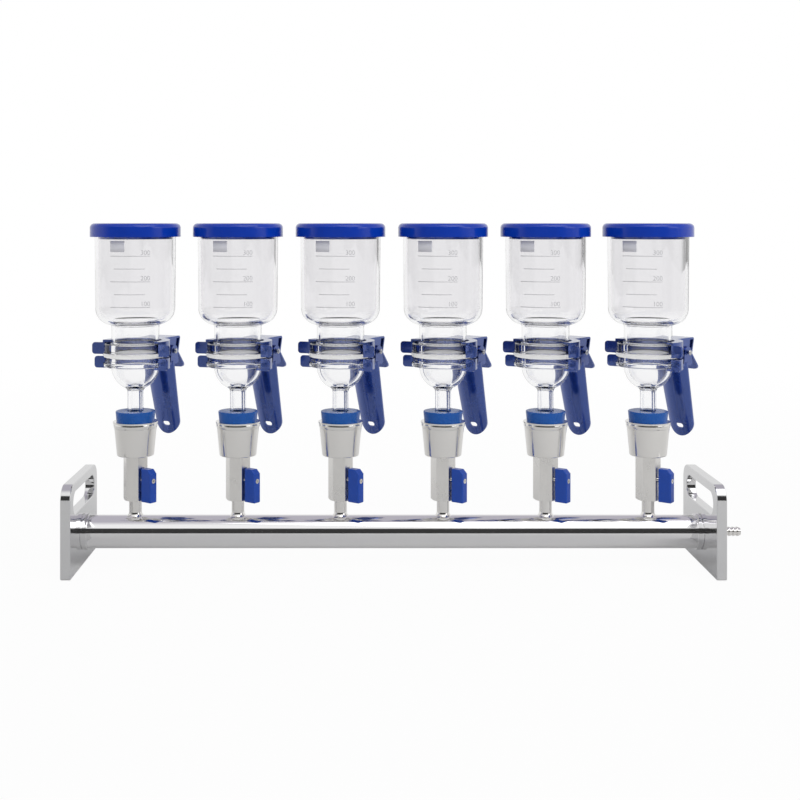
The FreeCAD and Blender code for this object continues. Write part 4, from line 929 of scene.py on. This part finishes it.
class MANIFOLD_OT_wind_springs(bpy.types.Operator):
    """Makes each clamp's riveted pin and its coiled spring"""

    bl_idname = "manifold.wind_springs"
    bl_label = "Wind Clamp Springs"

    def execute(self, context):
        wire = spring_material()
        for k in BRANCHES:
            piece = piece_from(f"pin_and_spring_{k}", *self.shape(k))
            piece.data.materials.append(wire)
            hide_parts(f"clamp_pin_{k}")
            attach(piece, f"holder_{k}")
        return {"FINISHED"}

    def shape(self, k):
        middle, outwards, along = pivot_place(k)
        return joined_shapes([self.pin(k, middle, along), self.spring(middle, outwards, along)])

    def pin(self, k, middle, along):
        """The riveted pin: its half length comes from the CAD pin, and each head is a quarter of an ellipse
        turned about the axis."""
        spring = settings().spring
        low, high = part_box(f"clamp_pin_{k}")
        spread = math.hypot(high.x - low.x, high.y - low.y)
        half = spread / 2 - spring.head_height - spring.head_inset
        angle = np.linspace(0, np.pi / 2, HEAD_STEPS)
        head_x, head_r = half + spring.head_height * np.sin(angle), spring.head_radius * np.cos(angle)
        head = np.stack([head_x, head_r], axis=1)
        shank = np.array([[half, spring.head_radius], [half, spring.pin_radius]])
        right = np.concatenate([shank[::-1], head[1:]])
        right[-1, 1] = 0.0
        left = right[::-1] * (-1, 1)
        return lathe_about(np.concatenate([left, right]), middle, along)

    def spring(self, middle, outwards, along):
        """A helix about the pin, p(u) = c + u L d + R (cos a n + sin a z), with a straight leg off each
        end."""
        spring = settings().spring
        up = np.array([0.0, 0.0, 1.0])
        angle = np.linspace(-np.pi / 2, -np.pi / 2 + 2 * np.pi * spring.turns, COIL_STEPS * spring.turns)
        place = np.linspace(-0.5, 0.5, len(angle)) * spring.coil_length
        round_part = np.cos(angle)[:, None] * outwards + np.sin(angle)[:, None] * up
        coil = middle + place[:, None] * along + spring.coil_radius * round_part
        reach = np.linspace(1.0, LEG_ROOT, LEG_STEPS)[:, None] * spring.leg_length
        first = coil[0] - reach * outwards * spring.inner_leg
        last = coil[-1] + reach[::-1] * outwards
        return tube_along(np.concatenate([first, coil, last]), spring.wire_radius)


class MANIFOLD_OT_set_stage(bpy.types.Operator):
    """Sets up the floor, the pale surroundings, the lamps and the camera"""

    bl_idname = "manifold.set_stage"
    bl_label = "Set Stage"

    def execute(self, context):
        self.floor()
        self.world(context.scene)
        self.lamps()
        self.camera(context.scene)
        context.scene.view_settings.view_transform = "Standard"
        context.scene.cycles.transmission_bounces = 24
        context.scene.cycles.transparent_max_bounces = 24
        context.scene.cycles.glossy_bounces = 16
        context.scene.cycles.max_bounces = 28
        return {"FINISHED"}

    def floor(self):
        """The bench is almost white to the camera and through glass, and quite white far behind the row, so
        that no horizon shows. The steel's reflections find it pale only behind the row."""
        stage = settings().stage
        side = stage.floor_side
        corners = [(-side, -side, 0), (side, -side, 0), (side, side, 0), (-side, side, 0)]
        floor = piece_from("floor", corners, [(0, 1, 2, 3)], smooth=False)
        material, tree, shader = new_material("Pale Bench", Roughness=0.9)
        shader.inputs["Base Color"].default_value = (*BENCH_GREY, 1)
        shader.inputs["Specular IOR Level"].default_value = 0.1
        light_path = add(tree, "ShaderNodeLightPath")
        back = coordinates(tree, "Object")["Y"]
        behind = ramp(tree, maths(tree, "ADD", back, MIRROR_START), MIRRORED_FLOOR)
        mirrored = maths(tree, "MULTIPLY", light_path.outputs["Is Glossy Ray"], behind)
        whiteness = list(zip(FLOOR_WHITENS, (stage.floor_white, 1.0)))
        white_share = ramp(tree, maths(tree, "MULTIPLY", back, FLOOR_SCALE), whiteness)
        white = add(tree, "ShaderNodeEmission", Color=(1, 1, 1, 1))
        mix = add(tree, "ShaderNodeMixShader")
        plain = maths(tree, "MULTIPLY", seen_directly(tree, light_path), white_share)
        share = maths(tree, "MAXIMUM", plain, mirrored)
        tree.links.new(share, mix.inputs[0])
        tree.links.new(shader.outputs[0], mix.inputs[1])
        tree.links.new(white.outputs[0], mix.inputs[2])
        out = next(node for node in tree.nodes if node.type == "OUTPUT_MATERIAL")
        tree.links.new(mix.outputs[0], out.inputs["Surface"])
        floor.data.materials.append(material)

    def world(self, scene):
        """White to the camera and through glass, but for a dark card far at the right that draws the glass's
        edge. Reflections see a room: pale at the sides and the back, and behind the camera a dark wall under
        a bright ceiling. All other rays find an even grey."""
        world = bpy.data.worlds.new("Studio")
        world.use_nodes = True
        scene.world = world
        tree = world.node_tree
        tree.nodes.clear()
        way = coordinates(tree, "Generated")
        wall = ramp(tree, way["Z"], FRONT_WALL)
        side = ramp(tree, way["Z"], SIDE_WALLS)
        front = ramp(tree, maths(tree, "MULTIPLY", way["Y"], -1.0), TOWARDS_CAMERA)
        room = mixed(tree, front, side, wall)
        lit, white = add(tree, "ShaderNodeBackground"), add(tree, "ShaderNodeBackground")
        light_path = add(tree, "ShaderNodeLightPath")
        card = ramp(tree, way["X"], DARK_CARD)
        through = maths(tree, "MULTIPLY", light_path.outputs["Is Transmission Ray"], card)
        tree.links.new(maths(tree, "SUBTRACT", 1.0, through), white.inputs["Color"])
        shown = mixed(tree, light_path.outputs["Is Glossy Ray"], EVEN_GREY, room)
        tree.links.new(shown, lit.inputs["Color"])
        mix = add(tree, "ShaderNodeMixShader")
        tree.links.new(seen_directly(tree, light_path), mix.inputs[0])
        tree.links.new(lit.outputs[0], mix.inputs[1])
        tree.links.new(white.outputs[0], mix.inputs[2])
        out = add(tree, "ShaderNodeOutputWorld")
        tree.links.new(mix.outputs[0], out.inputs[0])

    def lamps(self):
        stage = settings().stage
        low, high = CAD_BOX
        middle = [(a + b) / 2 for a, b in zip(low, high)]
        self.lamp("key", stage.key_power, stage.key_size, stage.key_place, middle)
        self.lamp("side", stage.side_power, stage.side_size, stage.side_place, middle)

    def lamp(self, name, power, size, way_out, target):
        """A square lamp that looks at the target, placed beside it by way_out's first two measures and over
        the bench by the third."""
        data = bpy.data.lights.new(name, "AREA")
        data.energy = power
        data.size = size
        lamp = bpy.data.objects.new(name, data)
        place = np.array([target[0] + way_out[0], target[1] + way_out[1], way_out[2]])
        lamp.location = place
        way = place - np.array(target)
        flat = math.hypot(way[0], way[1])
        lamp.rotation_euler = (math.atan2(flat, way[2]), 0, math.atan2(way[1], way[0]) + math.pi / 2)
        bpy.context.scene.collection.objects.link(lamp)

    def camera(self, scene):
        stage = settings().stage
        row = [branch_centre(k)[0] for k in BRANCHES]
        middle = (min(row) + max(row)) / 2
        data = bpy.data.cameras.new("camera")
        side = stage.picture_side
        data.sensor_width = SENSOR_WIDTH
        data.lens = SENSOR_WIDTH * stage.focal_pixels / side
        horizon = stage.foot_row - stage.camera_height * stage.focal_pixels / stage.distance
        data.shift_x = (side / 2 - stage.principal_x) / side
        data.shift_y = (horizon - side / 2) / side
        camera = bpy.data.objects.new("camera", data)
        camera.location = (middle - stage.camera_offset, -stage.distance, stage.camera_height)
        camera.rotation_euler = (math.pi / 2, 0, 0)
        scene.collection.objects.link(camera)
        scene.camera = camera


class MANIFOLD_PT_sidebar(bpy.types.Panel):
    """Lists the steps that dress the manifold"""

    bl_label = "Filtration Manifold"
    bl_idname = "MANIFOLD_PT_sidebar"
    bl_space_type = "VIEW_3D"
    bl_region_type = "UI"
    bl_category = "Manifold"

    def draw(self, context):
        for step in STEPS:
            self.layout.operator(step.bl_idname)


STEPS = (
    MANIFOLD_OT_set_stage,
    MANIFOLD_OT_dress_steel,
    MANIFOLD_OT_dress_blue,
    MANIFOLD_OT_dress_glass,
    MANIFOLD_OT_print_scales,
    MANIFOLD_OT_roll_beads,
    MANIFOLD_OT_wind_springs,
)
GROUPS = (MarkSizes, SpringSizes, BeadSizes, FinishColours, StageSizes, ManifoldSettings)
CLASSES = (*GROUPS, *STEPS, MANIFOLD_PT_sidebar)


def register():
    for item in CLASSES:
        bpy.utils.register_class(item)
    setattr(bpy.types.Scene, SETTINGS, PointerProperty(type=ManifoldSettings))


def unregister():
    delattr(bpy.types.Scene, SETTINGS)
    for item in reversed(CLASSES):
        bpy.utils.unregister_class(item)


def main():
    register()
    for step in STEPS:
        area, action = step.bl_idname.split(".")
        getattr(getattr(bpy.ops, area), action)()


if __name__ == "__main__":
    main()
